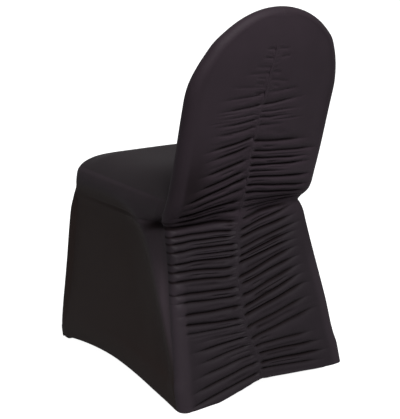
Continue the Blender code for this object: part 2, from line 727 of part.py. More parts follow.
def seat_edge_rows(side):
    """The side panel's first rows, from the seat's seam down round the seat's edge."""
    level = [seam_edge(seat_frame(side, share), 1.0) for share in SIDE_SHARES]
    corner = seam_edge(front_frame(side, SEAT_EDGE_HEIGHT), 1.0)
    near_corner = [seam_edge(seat_frame(side, share), 1.0) for share in SEAT_SHARES[-2:-1]]
    top = [seat_corner(side, 1.0)] + level + near_corner + [near_corner[0].lerp(corner, 0.5), corner]
    rows = [top]
    down, out = Vector((0.0, 0.0, -1.0)), Vector((side, 0.0, 0.0))
    for step in range(2):
        drop = rounded(Vector(), down, out)[step]
        rear = seam_edge(side_frame(side, SEAT_BACK_HEIGHT + drop.z), 1.0)
        front = seam_edge(front_frame(side, SEAT_EDGE_HEIGHT + drop.z), 1.0)
        bend = rounded(front, Vector((0.0, 1.0, 0.0)), out)
        rows.append([rear] + [point + drop for point in level] + [bend[1], bend[0], front])
    return rows


def make_side_panel(side_name, collection):
    """A side, from the seat's edge down to the side hem, between the back's seam and the front's."""
    side = SIDES[side_name]
    sheet = Sheet("side_panel_" + side_name)
    grid = seat_edge_rows(side)
    heights = [(SEAT_BACK_HEIGHT, SEAT_EDGE_HEIGHT)]
    heights += [(line[0].z, line[-1].z) for line in grid[1:]]
    for row in SIDE_ROWS:
        heights.append((row.rear_height, row.front_height))
        rear = seam_edge(side_frame(side, row.rear_height), 1.0)
        front = seam_edge(front_frame(side, row.front_height), 1.0)
        bend = rounded(front, Vector((0.0, 1.0, 0.0)), Vector((side, 0.0, 0.0)))
        line = [side_point(side, row, share) for share in SIDE_SHARES]
        grid.append([rear] + line + [bend[1], bend[0], front])
    sheet.join(grid)
    rear_frames = [side_frame(side, pair[0]) for pair in heights]
    front_frames = [front_frame(side, pair[1]) for pair in heights]
    seat_outward = seat_frame(side, 0.5).outward
    between = [seat_outward] * (len(grid[0]) - 2)
    sheet.turn_in(grid[0], [rear_frames[0].outward] + between + [front_frames[0].outward])
    sheet.turn_in([line[0] for line in grid], [frame.outward for frame in rear_frames])
    sheet.turn_in([line[-1] for line in grid], [frame.outward for frame in front_frames])
    return sheet.finish(collection, (side, 0.0, 0.0))


def make_foot_pocket(name, side, end, collection):
    """A stitched cup at a corner of the hem, which the chair's foot stands in."""
    lean = (end.top_x * side, end.top_y)
    centre = Vector((side * end.x, end.y - BOX_CENTRE_Y, 0.0))
    bm = bmesh.new()
    bmesh.ops.create_cube(bm, size=POCKET_SIZE)
    upright = [edge for edge in bm.edges if edge.verts[0].co.xy == edge.verts[1].co.xy]
    bmesh.ops.bevel(bm, geom=upright, offset=POCKET_CHAMFER, segments=1, affect="EDGES")
    for vert in bm.verts:
        raised = vert.co.z > 0.0
        vert.co.z = POCKET_HEIGHT if raised else 0.0
        vert.co += centre + Vector((lean[0], lean[1], 0.0)) * (1.0 if raised else 0.0)
        vert.co *= METRES_PER_MM
    lid = max(bm.faces, key=lambda face: face.calc_center_median().z)
    bmesh.ops.delete(bm, geom=[lid], context="FACES_ONLY")
    mesh = bpy.data.meshes.new(name)
    bm.to_mesh(mesh)
    bm.free()
    pocket = bpy.data.objects.new(name, mesh)
    collection.objects.link(pocket)
    solidify = pocket.modifiers.new("cloth thickness", "SOLIDIFY")
    solidify.thickness = POCKET_WALL * METRES_PER_MM
    solidify.offset = -1.0
    solidify.use_even_offset = True
    mesh.materials.append(cloth_material(name))
    return pocket


def main():
    """Builds the cover in a clean scene."""
    for old in list(bpy.data.objects):
        bpy.data.objects.remove(old, do_unlink=True)
    cover = bpy.data.collections.new("chair_cover")
    bpy.context.scene.collection.children.link(cover)
    make_front_panel(cover)
    for side_name, side in SIDES.items():
        make_rear_panel(side_name, cover)
        make_side_panel(side_name, cover)
        for end in FOOT_POCKETS:
            make_foot_pocket(f"foot_pocket_{end.name}_{side_name}", side, end, cover)


main()
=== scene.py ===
"""Each class makes one sub-assembly: the front panel, the gathered rear panels, the side panels, the foot
pockets and the studio. Shapes are computed with numpy in millimetres, with y measured from the middle of
the feet, and are turned into metres in the row frame when a mesh is made.
"""

from __future__ import annotations

import logging
import math
from dataclasses import astuple, dataclass, field
from enum import Enum

import bmesh
import bpy
import numpy as np
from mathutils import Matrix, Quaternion, Vector

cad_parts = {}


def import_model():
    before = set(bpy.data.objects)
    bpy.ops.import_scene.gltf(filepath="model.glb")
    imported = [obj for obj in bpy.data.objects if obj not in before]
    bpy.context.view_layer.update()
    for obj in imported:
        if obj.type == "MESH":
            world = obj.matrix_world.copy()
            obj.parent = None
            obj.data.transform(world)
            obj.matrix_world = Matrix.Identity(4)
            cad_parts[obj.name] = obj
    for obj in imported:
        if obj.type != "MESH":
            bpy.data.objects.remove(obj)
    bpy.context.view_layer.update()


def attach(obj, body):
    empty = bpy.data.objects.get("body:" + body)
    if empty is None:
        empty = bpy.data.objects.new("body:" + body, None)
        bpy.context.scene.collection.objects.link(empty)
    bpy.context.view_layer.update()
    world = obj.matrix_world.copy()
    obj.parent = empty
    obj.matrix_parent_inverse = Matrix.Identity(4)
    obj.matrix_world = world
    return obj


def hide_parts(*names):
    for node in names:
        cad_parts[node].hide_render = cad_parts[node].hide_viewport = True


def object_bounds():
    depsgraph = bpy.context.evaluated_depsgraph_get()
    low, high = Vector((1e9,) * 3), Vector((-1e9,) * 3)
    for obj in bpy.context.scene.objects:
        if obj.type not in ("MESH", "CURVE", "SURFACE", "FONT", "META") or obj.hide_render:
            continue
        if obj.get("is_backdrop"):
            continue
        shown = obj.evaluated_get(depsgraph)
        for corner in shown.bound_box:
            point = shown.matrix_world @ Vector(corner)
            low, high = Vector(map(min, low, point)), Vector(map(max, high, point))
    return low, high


LOG = logging.getLogger("chair_cover")
Array = np.ndarray

METRES_PER_MM = 0.001
BOX_CENTRE_Y = 12.5  # how far the row frame's origin is behind the middle of the feet, in millimetres
WELD_DISTANCE = 0.00002  # in metres
SHARP_ANGLE = math.radians(62.0)

# The camera, as fitted to the photo, in metres.
FOCAL_LENGTH = 80.75
VIEW_SHIFT = (0.0009, -0.0113)
CAMERA_ROLL = math.radians(0.32)
CAMERA_PLACE = Vector((1.3707, 1.8568, 1.0081))
CAMERA_TARGET = Vector((0.00605, -0.00111, 0.397))
COVER_MIDDLE = Vector((0.0, 0.0, 0.45))

# The cover's main sizes in millimetres, with heights from the floor.
TOP_HEIGHT = 906.5
RIM_RADIUS = 20.5
RIM_TURN = math.radians(140.0)
DOME_BASE = 700.0
DOME_RISE = TOP_HEIGHT - RIM_RADIUS - DOME_BASE
DOME_HALF_WIDTH = 192.5
CORNER_RADIUS = 19.0
LEG_WRAP = 23.0
FRONT_CORNER_RADIUS = 12.0
SEAT_EDGE = 474.0
SEAT_BACK = 470.0
SEAT_CROWN = 39.0
INSIDE_FOOT = 530.0
HEM_HEIGHT = 1.0
HEM_DEPTH = 10.0
SEAM_FOOT = 22.0
SEAM_GAP = 0.04
LIP_DEPTH = 2.6
FOLD_REACH = 195.0
FOLDS_END = 722.0
PUCKER_PITCH = 6.4


class Half(Enum):
    """The two halves of the cover, as the sign of x on each."""

    LEFT = 1
    RIGHT = -1

    @property
    def label(self) -> str:
        """The half's name in node names, "left" or "right"."""
        return self.name.lower()


class Held(Enum):
    GATHERED = "gathered"
    STRETCHED = "stretched"


class Profile:
    """A smooth curve through knots that never overshoots them."""

    def __init__(self, *knots: tuple[float, float]) -> None:
        """Finds the curve's slope at each knot.

        A slope is the harmonic mean of the rises on both sides, or zero where the rise changes sign.

        Args:
            knots: pairs of a place and the value there, in rising order of place.
        """
        self.places, self.values = np.array(knots, dtype=float).T
        rise = np.diff(self.values) / np.diff(self.places)
        product = rise[:-1] * rise[1:]
        total = np.where(product > 0.0, rise[:-1] + rise[1:], 1.0)
        inner = np.where(product > 0.0, 2.0 * product / total, 0.0)
        self.slopes = np.concatenate((rise[:1], inner, rise[-1:]))

    def __call__(self, place: Array | float) -> Array:
        """Reads the curve.

        The value is the cubic that has both knots' values and slopes.

        Args:
            place: where to read it; outside the knots, the nearest one holds.

        Returns:
            The value at each place.
        """
        place = np.clip(place, self.places[0], self.places[-1])
        index = np.clip(np.searchsorted(self.places, place, side="right") - 1, 0, len(self.places) - 2)
        width = self.places[index + 1] - self.places[index]
        t = (place - self.places[index]) / width
        rest = 1.0 - t
        start = (1.0 + 2.0 * t) * rest**2 * self.values[index] + t * rest**2 * width * self.slopes[index]
        end = t**2 * (3.0 - 2.0 * t) * self.values[index + 1]
        return start + end - t**2 * rest * width * self.slopes[index + 1]


def ease(low: float, high: float, value: Array | float) -> Array:
    """An easy rise from 0 at low to 1 at high: three t squared less two t cubed."""
    t = np.clip((np.asarray(value, dtype=float) - low) / (high - low), 0.0, 1.0)
    return t * t * (3.0 - 2.0 * t)


def fall(low: float, high: float, value: Array | float) -> Array:
    """An easy fall from 1 at low to 0 at high: one less the rise."""
    return 1.0 - ease(low, high, value)


def hump(distance: Array, width: float) -> Array:
    """A bell curve: the exponential of minus the square of distance over width."""
    return np.exp(-((distance / width) ** 2))


def mix(start: Array | float, end: Array | float, share: Array | float) -> Array:
    """A blend: start plus share times the way to end."""
    return start + (end - start) * share


def points(x: Array | float, y: Array | float, z: Array | float) -> Array:
    """Stacks three coordinates, spread to one shape, into points on a last axis of three."""
    return np.stack(np.broadcast_arrays(x, y, z), axis=-1).astype(float)


def unit(vectors: Array) -> Array:
    """Each vector divided by the root of the sum of its squares."""
    return vectors / np.linalg.norm(vectors, axis=-1, keepdims=True)


def crowded(count: int) -> Array:
    """Places from -1 to 1 that crowd towards both ends: the sine of even steps."""
    return np.sin(np.pi / 2 * np.linspace(-1.0, 1.0, count))


def hem_groove(above: Array) -> Array:
    """The depth of the hem's stitched line: half a millimetre deep, at the hem's depth above the edge."""
    return 0.5 * hump(above - HEM_DEPTH, 1.0)


@dataclass(frozen=True)
class Fold:
    """A sunken crease that runs out from the centre seam.

    Its heights are at the seam and at the panel's side; it begins and ends at distances from the seam.
    """

    seam_height: float
    side_height: float
    begins: float
    ends: float
    depth: float


@dataclass(frozen=True)
class Wrinkle:
    """A short crease between two spots of the rear, each an x and a height."""

    near_x: float
    near_height: float
    far_x: float
    far_height: float
    depth: float = 2.2


FOLDS: dict[Half, tuple[Fold, ...]] = {
    half: tuple(Fold(*row) for row in rows)
    for half, rows in {
        Half.LEFT: (
            (38, 7, 8, 200, 4.5), (63, 35, 10, 190, 4.5), (83, 65, 15, 170, 4.0), (108, 94, 20, 150, 4.0),
            (127, 124, 15, 150, 4.5), (139, 146, 20, 130, 2.0), (157, 167, 15, 200, 3.5),
            (169, 187, 15, 200, 5.0), (200, 208, 12, 190, 5.0), (223, 236, 12, 200, 4.5),
            (242, 254, 10, 205, 5.0), (270, 283, 15, 205, 5.0), (289, 304, 15, 210, 5.0),
            (313, 322, 10, 205, 5.0), (327, 334, 10, 140, 4.0), (341, 347, 10, 205, 5.0),
            (360, 366, 20, 210, 5.0), (372, 381, 15, 205, 5.0), (394, 401, 15, 230, 5.5),
            (424, 413, 10, 175, 5.0), (449, 427, 15, 190, 6.0), (480, 440, 10, 150, 4.5),
            (506, 457, 5, 158, 6.0), (527, 482, 18, 128, 5.5), (555, 516, 15, 120, 5.5),
            (587, 552, 15, 105, 5.0), (607, 577, 5, 115, 5.0), (633, 615, 10, 98, 3.5),
            (652, 634, 8, 95, 4.0), (664, 654, 20, 90, 2.5), (685, 668, 5, 100, 4.5),
            (709, 696, 10, 100, 3.0),
        ),
        Half.RIGHT: (
            (46, 22, 5, 180, 3.5), (59, 44, 5, 195, 5.0), (81, 70, 8, 190, 4.5), (100, 97, 5, 175, 4.0),
            (118, 149, 5, 200, 4.5), (146, 180, 5, 190, 4.5), (175, 213, 5, 195, 5.5),
            (193, 238, 8, 180, 5.5), (219, 260, 8, 180, 5.0), (246, 282, 15, 180, 5.0),
            (262, 306, 8, 175, 5.5), (297, 325, 8, 165, 5.5), (310, 345, 8, 165, 5.5),
            (327, 362, 8, 180, 4.5), (352, 380, 15, 170, 5.5), (368, 400, 18, 165, 5.0),
            (396, 409, 15, 140, 4.5), (427, 420, 15, 190, 4.0), (445, 430, 12, 180, 4.5),
            (468, 444, 8, 200, 5.5), (487, 463, 8, 200, 5.5), (508, 491, 10, 200, 5.5),
            (523, 505, 8, 110, 4.0), (537, 527, 8, 175, 5.5), (557, 540, 5, 165, 5.0),
            (574, 560, 12, 195, 4.5), (599, 586, 5, 150, 5.0), (637, 633, 8, 70, 3.0),
            (655, 654, 5, 80, 4.0), (668, 667, 8, 100, 3.0), (684, 700, 5, 100, 5.0),
        ),
    }.items()
}

WRINKLES: dict[Half, tuple[Wrinkle, ...]] = {
    half: tuple(Wrinkle(*row) for row in rows)
    for half, rows in {
        Half.LEFT: (
            (25, 404, 50, 406), (60, 351, 130, 351), (90, 312, 180, 312), (140, 290, 170, 289),
            (50, 281, 120, 284), (50, 258, 170, 265), (60, 259, 145, 260, 1.6), (42, 194, 65, 195),
            (42, 186, 65, 187), (60, 140, 150, 148), (5, 810, 35, 812, 2.6), (12, 791, 38, 793, 3.0),
            (5, 770, 52, 773, 2.6), (0, 757, 70, 758, 3.2), (20, 746, 45, 748), (20, 733, 45, 735, 2.8),
            (15, 725, 100, 730, 2.4), (10, 712, 42, 713, 4.2), (25, 573, 75, 566), (85, 619, 120, 621),
        ),
        Half.RIGHT: (
            (0, 812, -28, 811, 2.6), (-12, 793, -35, 795, 2.8), (2, 760, -20, 757, 3.0),
            (-2, 742, -45, 735, 2.8), (-8, 728, -25, 725, 2.6), (-5, 713, -75, 718, 4.4),
            (-8, 620, -60, 618, 3.0), (-120, 403, -150, 402), (-60, 336, -100, 340), (5, 287, -45, 294),
            (-40, 242, -120, 258), (-2, 212, -50, 217, 3.0), (0, 140, -60, 142, 2.8),
            (-100, 155, -180, 165), (-5, 30, -130, 13, 3.0),
        ),
    }.items()
}

# The heights at which each row of a side panel meets its rear seam and its front seam.
SIDE_ROWS = np.array((
    (461.5, 465.5), (445, 450), (430, 434), (418, 419), (408, 406), (395, 393),
    (350, 360), (270, 300), (170, 188), (75, 91), (HEM_HEIGHT, HEM_HEIGHT),
))

# The side's ridge, as places towards the rear and heights; its first and last are below the floor.
RIDGE = (
    (-330, -20), (-330, 300), (-320, 405), (-262, 433), (-199, 440), (-123, 442),
    (-55, 438), (0, 428), (34, 414), (60, 395), (79, 375), (99, 348),
    (116, 318), (138, 276), (160, 235), (183, 191), (204, 150), (224, 116),
    (246, 83), (278, 30), (308, -20),
)

# For each foot: its end of the chair, the x and y of its sole, and its pocket's lean in x and y.
FOOT_POCKETS = (("rear", 225.5, 261.1, -0.6, -7.8), ("front", 230.3, -262.1, 1.8, 0.4))


@dataclass(frozen=True)
class Seam:
    """A seam's course as arrays of points, the way out of the cloth, and the way across to the next panel."""

    at: Array
    outward: Array
    across: Array

    def edge(self, direction: float) -> Array:
        """The sewn edge half the gap off: direction is 1 for the panel that across points to, or -1."""
        return self.at + self.across * (direction * SEAM_GAP / 2)

    def lip(self, direction: float) -> Array:
        """The hidden edge of the seam allowance, one lip's depth straight in from the sewn edge."""
        return self.edge(direction) - self.outward * LIP_DEPTH


class WornShape:
    """The shape that the chair inside gives to the cloth."""

    def __init__(self) -> None:
        """Sets the curves that were fitted to the photo's outlines."""
        self.half_width = Profile(
            (HEM_HEIGHT, 246), (45, 245), (75, 239), (120, 233), (220, 221), (320, 208), (380, 202),
            (395, 200), (404, 198), (412, 202.5), (420, 206), (430, 210.5), (445, 213.5), (470, 214),
            (DOME_BASE, 213),
        )
        self.rear_y = Profile(
            (HEM_HEIGHT, 279.7), (45, 267), (75, 258.3), (220, 216.4), (380, 170.1), (395, 164),
            (404, 158.5), (412, 161), (420, 167), (430, 174.5), (445, 185), (470, 197), (DOME_BASE, 260),
        )
        self.pad = Profile((384, 0), (397, 0.12), (408, 1), (470, 1))
        self.rim = Profile((740, RIM_RADIUS), (TOP_HEIGHT - RIM_RADIUS, RIM_RADIUS - 3.5))
        self.widen = Profile((0, 0.028), (400, 0.026), (440, 0.016), (500, 0.008), (720, 0.008), (780, 0))
        self.deepen = Profile((0, 0.028), (400, 0.024), (440, 0.012), (500, 0))
        self.dome_y = Profile(
            (DOME_BASE, 260), (760, 277), (800, 288), (830, 295), (860, 301.5), (883.5, 305),
        )
        self.seam_x = Profile(
            (22, 20), (60, 13), (80, 16), (110, 26), (150, 37), (200, 37), (250, 39), (270, 39), (300, 29),
            (325, 22), (360, 23), (395, 12), (450, 12), (500, 16), (600, 21), (700, 14), (760, 12), (815, 9),
            (850, 4), (883.5, 0),
        )
        self.seam_y = Profile(
            (22, 274), (70, 260.5), (150, 237.8), (260, 206.6), (330, 187.6), (385, 176), (415, 176),
            (440, 185), (480, 202), (600, 236.5), (700, 263.5), (815, 293.5), (883.5, 305),
        )
        self.front_half = Profile(
            (HEM_HEIGHT, 249), (34, 252), (91, 248), (147, 242), (230, 233), (300, 226.5), (360, 219.5),
            (393, 211), (419, 204.5), (450, 204.5), (464, 203), (SEAT_EDGE, 199.5),
        )
        self.front_y = Profile(
            (HEM_HEIGHT, -280), (300, -272.9), (419, -270), (450, -269), (464, -266), (SEAT_EDGE, -260),
        )

    def fitted(self, at: Array) -> Array:
        """Points eased outwards to the photo's outline.

        Each point moves away from the middle by a share that depends on its height, towards the front by
        half as much as towards the rear. The dome leans a little to the right, as does the right skirt's
        edge, and the waist is a little higher on the right.

        Args:
            at: points in millimetres.

        Returns:
            The moved points.
        """
        x, y, z = np.moveaxis(at, -1, 0)
        deeper = self.deepen(z) * np.where(y > 0, 1, 0.5)
        skirt = 4.5 * ease(0, 150, -x) * ease(80, 170, z) * fall(375, 402, z)
        lean = 5.5 * ease(730, 860, z)
        raised = z + 9 * ease(20, 200, -x) * ease(-100, 100, y) * hump(z - 404, 30)
        return points(x * (1 + self.widen(z)) - skirt - lean, y * (1 + deeper), raised)

    def dome_angle(self, height: Array) -> Array:
        """The angle round the dome: the arcsine of the rise above its base over the whole rise."""
        rise = (np.asarray(height, dtype=float) - DOME_BASE) / DOME_RISE
        return np.arcsin(np.clip(rise, 0, 1))

    def dome_height(self, angle: Array) -> Array:
        """The height of the rear face's edge at an angle round the dome: its base plus the rise's sine."""
        return DOME_BASE + DOME_RISE * np.sin(angle)

    def face_half(self, height: Array) -> Array:
        """The rear face's half-width inside the rounded rim or leg corner.

        Above the base it is the cosine of the dome's angle times the base's, with a slight shoulder.

        Args:
            height: where to read it.

        Returns:
            Half-widths.
        """
        slimmer = RIM_RADIUS - self.rim(height)
        dome = (DOME_HALF_WIDTH + slimmer) * np.cos(self.dome_angle(height)) + 2.5 * hump(height - 820, 16)
        straight = self.half_width(height) - mix(CORNER_RADIUS, RIM_RADIUS, self.pad(height))
        return np.where(height > DOME_BASE, dome, straight)

    def face_y(self, height: Array) -> Array:
        """How far back the rear face stands at its side edges."""
        return np.where(height > DOME_BASE, self.dome_y(height), self.rear_y(height))

    def wrap(self, side: int, height: Array, progress: Array) -> Array:
        """Points round the edge of the rear face, over the back's rim or round the leg's corner.

        The rim is a circle of the rim's radius, and the leg is a quarter circle and a straight run; the
        pad profile blends one into the other, and over the dome the circle stands square to the outline.

        Args:
            side: 1 or -1.
            height: heights of the rear face's edge.
            progress: 0 at the face to 1 at the seam.

        Returns:
            Points round the edge.
        """
        pad = self.pad(height)
        angle = progress * RIM_TURN
        run = progress * (CORNER_RADIUS * math.pi / 2 + LEG_WRAP - CORNER_RADIUS)
        bend = np.minimum(run / CORNER_RADIUS, math.pi / 2)
        straight = np.maximum(run - CORNER_RADIUS * math.pi / 2, 0)
        rim = self.rim(height)
        across = mix(CORNER_RADIUS * np.sin(bend), rim * np.sin(angle), pad)
        forward = mix(CORNER_RADIUS * (1 - np.cos(bend)) + straight, rim * (1 - np.cos(angle)), pad)
        dome = self.dome_angle(height)
        x = side * (self.face_half(height) + across * np.cos(dome))
        return points(x, self.face_y(height) - forward, height + across * np.sin(dome))

    def side_seam(self, side: int, height: Array) -> Seam:
        """The seam along the front of the back's rim and down behind the side panel.

        Args:
            side: 1 or -1.
            height: heights of the rear face's edge.

        Returns:
            The seam.
        """
        turn = mix(math.pi / 2, RIM_TURN, self.pad(height))
        dome = self.dome_angle(height)
        out = points(side * np.sin(turn) * np.cos(dome), np.cos(turn), np.sin(turn) * np.sin(dome))
        across = points(side * np.cos(turn) * np.cos(dome), -np.sin(turn), np.cos(turn) * np.sin(dome))
        return Seam(self.wrap(side, height, np.array(1)), unit(out), unit(across))

    def front_seam(self, side: int, height: Array) -> Seam:
        """The seam down a front leg's corner, in the middle of its rounding.

        Args:
            side: 1 or -1.
            height: heights along the leg.

        Returns:
            The seam.
        """
        inset = FRONT_CORNER_RADIUS * (1 - math.sqrt(0.5))
        at = points(side * (self.front_half(height) - inset), self.front_y(height) + inset, height)
        return Seam(at, unit(points(side, -1, 0)), unit(points(side, 1, 0)))

    def seat_seam(self, side: int, share: Array) -> Seam:
        """The seam along the seat's edge, straight from the back's side seam to the front corner.

        Args:
            side: 1 or -1.
            share: 0 at the back to 1 at the front.

        Returns:
            The seam.
        """
        back = self.side_seam(side, np.array(SEAT_BACK)).at
        corner = self.front_seam(side, np.array(SEAT_EDGE)).at
        at = mix(back, corner, share[..., None])
        return Seam(at, unit(points(side, 0, 1)), unit(points(side, 0, -1)))


@dataclass
class Surface:
    """A grid of points in rows and columns, with values that its materials read."""

    at: Array
    masks: dict[str, Array] = field(default_factory=dict)

    def lengths(self) -> tuple[Array, Array]:
        """Run lengths over the grid: the sum of the steps so far along each row, and along each column.

        Returns:
            Two arrays in metres, for the flat pattern's coordinates.
        """
        along = np.linalg.norm(np.diff(self.at, axis=1), axis=-1)
        up = np.linalg.norm(np.diff(self.at, axis=0), axis=-1)
        u = np.concatenate((np.zeros((len(self.at), 1)), np.cumsum(along, axis=1)), axis=1)
        v = np.concatenate((np.zeros((1, self.at.shape[1])), np.cumsum(up, axis=0)), axis=0)
        return (u - u.mean(axis=1, keepdims=True)) * METRES_PER_MM, v * METRES_PER_MM


def grid_mesh(name: str, surface: Surface, facing: Vector) -> bpy.types.Object:
    """Makes a mesh object of a surface, in the row frame, with sharp edges at the turned-in lips.

    A quad joins each two neighbouring rows and columns, and the quads are turned over where the sum of
    their normals, each the cross product of its diagonals, points against facing.

    Args:
        name: the object's name.
        surface: the grid and its masks.
        facing: the side that the cloth's outer face is on.

    Returns:
        The object, linked to the scene.
    """
    rows, columns = surface.at.shape[:2]
    at = (surface.at.reshape(-1, 3) - (0.0, BOX_CENTRE_Y, 0.0)) * METRES_PER_MM
    first = (np.arange(rows - 1)[:, None] * columns + np.arange(columns - 1)).ravel()
    quads = np.stack((first, first + 1, first + columns + 1, first + columns), axis=1)
    normals = np.cross(at[quads[:, 2]] - at[quads[:, 0]], at[quads[:, 3]] - at[quads[:, 1]])
    if normals.sum(axis=0) @ np.array(facing) < 0.0:
        quads = quads[:, ::-1]
    mesh = bpy.data.meshes.new(name)
    mesh.from_pydata(at.tolist(), [], quads.tolist())
    corners = np.zeros(len(mesh.loops), dtype=np.int32)
    mesh.loops.foreach_get("vertex_index", corners)
    u, v = surface.lengths()
    pattern = np.stack((u.ravel(), v.ravel()), axis=1)[corners]
    mesh.uv_layers.new(name="pattern").data.foreach_set("uv", pattern.ravel().astype(np.float32))
    for mask, values in surface.masks.items():
        layer = mesh.attributes.new(mask, "FLOAT", "POINT")
        layer.data.foreach_set("value", values.ravel().astype(np.float32))
    weld = bmesh.new()
    weld.from_mesh(mesh)
    bmesh.ops.remove_doubles(weld, verts=weld.verts, dist=WELD_DISTANCE)
    weld.to_mesh(mesh)
    weld.free()
    mesh.shade_smooth()
    mesh.set_sharp_from_angle(angle=SHARP_ANGLE)
    made = bpy.data.objects.new(name, mesh)
    bpy.context.scene.collection.objects.link(made)
    return made


@dataclass(frozen=True)
class ClothFinish:
    """How a piece of the cloth looks."""

    colour: tuple[float, float, float]
    # The span colour, where given, is painted shade: a darker colour for the parts of the panel that lie in
    # shade.
    span_colour: tuple[float, float, float] | None = None
    # The crease colour is painted shade, blended in wherever the crease mask paints shade.
    crease_colour: tuple[float, float, float] = (0.0058, 0.0026, 0.0034)
    roughness: float = 0.55
    sheen: float = 0.03
    knit_depth: float = 0.35


# The cover is one fabric: the three panels' slightly different colours are painted light, each tuned to how
# its panel is lit.
REAR_CLOTH = ClothFinish((0.0276, 0.0191, 0.0251), span_colour=(0.0190, 0.0143, 0.0179))
FRONT_CLOTH = ClothFinish((0.0262, 0.0210, 0.0238))
SIDE_CLOTH = ClothFinish((0.0288, 0.0215, 0.0260), span_colour=(0.0236, 0.0155, 0.0140))

# The mesh masks that carry painted shade, painted highlight and the painted shade of the spans into the tone
# group.
MASK_SOCKETS = {"crease": "Crease mask", "stretch": "Stretch mask", "membrane": "Span mask"}

Feed = bpy.types.NodeSocket | float | tuple[float, ...]


def feed(node: bpy.types.Node, inputs: dict[str | int, Feed]) -> None:
    """Sets inputs of a node, each by a link where it is given a socket, and otherwise to the value.

    Args:
        node: the node.
        inputs: each input's name or number, and what feeds it.
    """
    for name, value in inputs.items():
        if isinstance(value, bpy.types.NodeSocket):
            node.id_data.links.new(value, node.inputs[name])
        else:
            node.inputs[name].default_value = value


def add_node(
    tree: bpy.types.NodeTree, kind: str, inputs: dict[str | int, Feed] | None = None, **settings: object
) -> bpy.types.Node:
    """Adds a shader node.

    Args:
        tree: the tree that it goes into.
        kind: its type, less "ShaderNode".
        inputs: what feeds each input, as in feed.
        settings: its own properties, which are set first.

    Returns:
        The node.
    """
    node = tree.nodes.new("ShaderNode" + kind)
    for name, value in settings.items():
        setattr(node, name, value)
    feed(node, inputs or {})
    return node


class NodeGroups:
    """Shader groups that every cloth material shares."""

    WAVE_PITCH = 0.314
    KNIT_RELIEF = 0.00022

    def __init__(self) -> None:
        """Builds the groups once."""
        self.knit = self._knit()
        self.tone = self._tone()

    @staticmethod
    def _group(
        name: str, inputs: dict[str, Feed | None], outputs: dict[str, str]
    ) -> tuple[bpy.types.NodeTree, bpy.types.bpy_prop_collection, bpy.types.Node]:
        """Makes an empty group with named sockets.

        Args:
            name: the group's name.
            inputs: each input's name and default: a number, a colour, or None for a vector.
            outputs: each output's name and socket type.

        Returns:
            The group, its input node's sockets and its output node.
        """
        tree = bpy.data.node_groups.new(name, "ShaderNodeTree")
        for label, default in inputs.items():
            kind = "Vector" if default is None else "Float" if isinstance(default, float) else "Color"
            socket = tree.interface.new_socket(name=label, in_out="INPUT", socket_type="NodeSocket" + kind)
            if default is not None:
                socket.default_value = default
        for label, kind in outputs.items():
            tree.interface.new_socket(name=label, in_out="OUTPUT", socket_type="NodeSocket" + kind)
        entry, leaving = tree.nodes.new("NodeGroupInput"), tree.nodes.new("NodeGroupOutput")
        return tree, entry.outputs, leaving

    def _knit(self) -> bpy.types.NodeTree:
        """The knit's relief: fine ribs along the cloth crossed by courses, and a slow unevenness.

        The wave texture's bands are the wave pitch apart at scale 1.

        Returns:
            A group that turns the pattern's coordinates into a normal.
        """
        tree, given, leaving = self._group(
            "Knit relief", {"Vector": None, "Rib spacing": 0.0011, "Depth": 0.4}, {"Normal": "Vector"}
        )
        rate = add_node(tree, "Math", {0: self.WAVE_PITCH, 1: given["Rib spacing"]}, operation="DIVIDE")
        wave = {"Vector": given["Vector"], "Scale": rate.outputs[0], "Distortion": 0.6, "Detail": 0.0}
        ribs, courses = (
            add_node(tree, "TexWave", wave, bands_direction=direction).outputs["Fac"] for direction in "XY"
        )
        cross = add_node(tree, "Math", {0: ribs, 1: courses}, operation="MULTIPLY")
        slub = add_node(tree, "TexNoise", {"Vector": given["Vector"], "Scale": 70.0, "Detail": 3.0})
        height = add_node(tree, "Math", operation="MULTIPLY_ADD")
        feed(height, {0: slub.outputs["Fac"], 1: 0.8, 2: cross.outputs[0]})
        relief = {"Strength": given["Depth"], "Distance": self.KNIT_RELIEF, "Height": height.outputs[0]}
        feed(leaving, {"Normal": add_node(tree, "Bump", relief).outputs["Normal"]})
        return tree

    def _tone(self) -> bpy.types.NodeTree:
        """The cloth's tone: painted highlight at the highlight mask, painted shade and more roughness in
        creases, faintly mottled.

        At the span mask, a painted shade colour takes the cloth colour's place.

        Returns:
            A group that gives a colour and a roughness.
        """
        black = (0.013, 0.010, 0.012, 1.0)
        tree, given, leaving = self._group(
            "Cloth tone",
            {
                "Vector": None, "Cloth": black, "Span": black, "Span mask": 0.0, "Crease": black,
                "Crease mask": 0.0, "Stretch mask": 0.0, "Roughness": 0.5,
            },
            {"Colour": "Color", "Roughness": "Float"},
        )
        mottle = add_node(tree, "TexNoise", {"Vector": given["Vector"], "Scale": 22.0, "Detail": 4.0})
        gain = add_node(tree, "MapRange", {"Value": mottle.outputs["Fac"], "To Min": 0.9, "To Max": 1.1})
        # Painted highlight: the highlight mask brightens the colour by up to a half, over the random mottle.
        pulled = add_node(tree, "Math", operation="MULTIPLY_ADD")
        feed(pulled, {0: given["Stretch mask"], 1: 0.5, 2: gain.outputs["Result"]})
        # Painted shade: the span colour takes the cloth colour's place at the span mask.
        base = add_node(tree, "Mix", data_type="RGBA")
        feed(base, {"Factor": given["Span mask"], "A": given["Cloth"], "B": given["Span"]})
        lit = add_node(tree, "VectorMath", operation="SCALE")
        feed(lit, {0: base.outputs["Result"], "Scale": pulled.outputs[0]})
        # Painted shade in the creases: the crease mask blends towards the crease colour, and also makes the
        # cloth rougher there.
        blend = add_node(tree, "Mix", data_type="RGBA")
        feed(blend, {"Factor": given["Crease mask"], "A": lit.outputs["Vector"], "B": given["Crease"]})
        rough = add_node(tree, "Math", operation="MULTIPLY_ADD")
        feed(rough, {0: given["Crease mask"], 1: 0.25, 2: given["Roughness"]})
        feed(leaving, {"Colour": blend.outputs["Result"], "Roughness": rough.outputs[0]})
        return tree


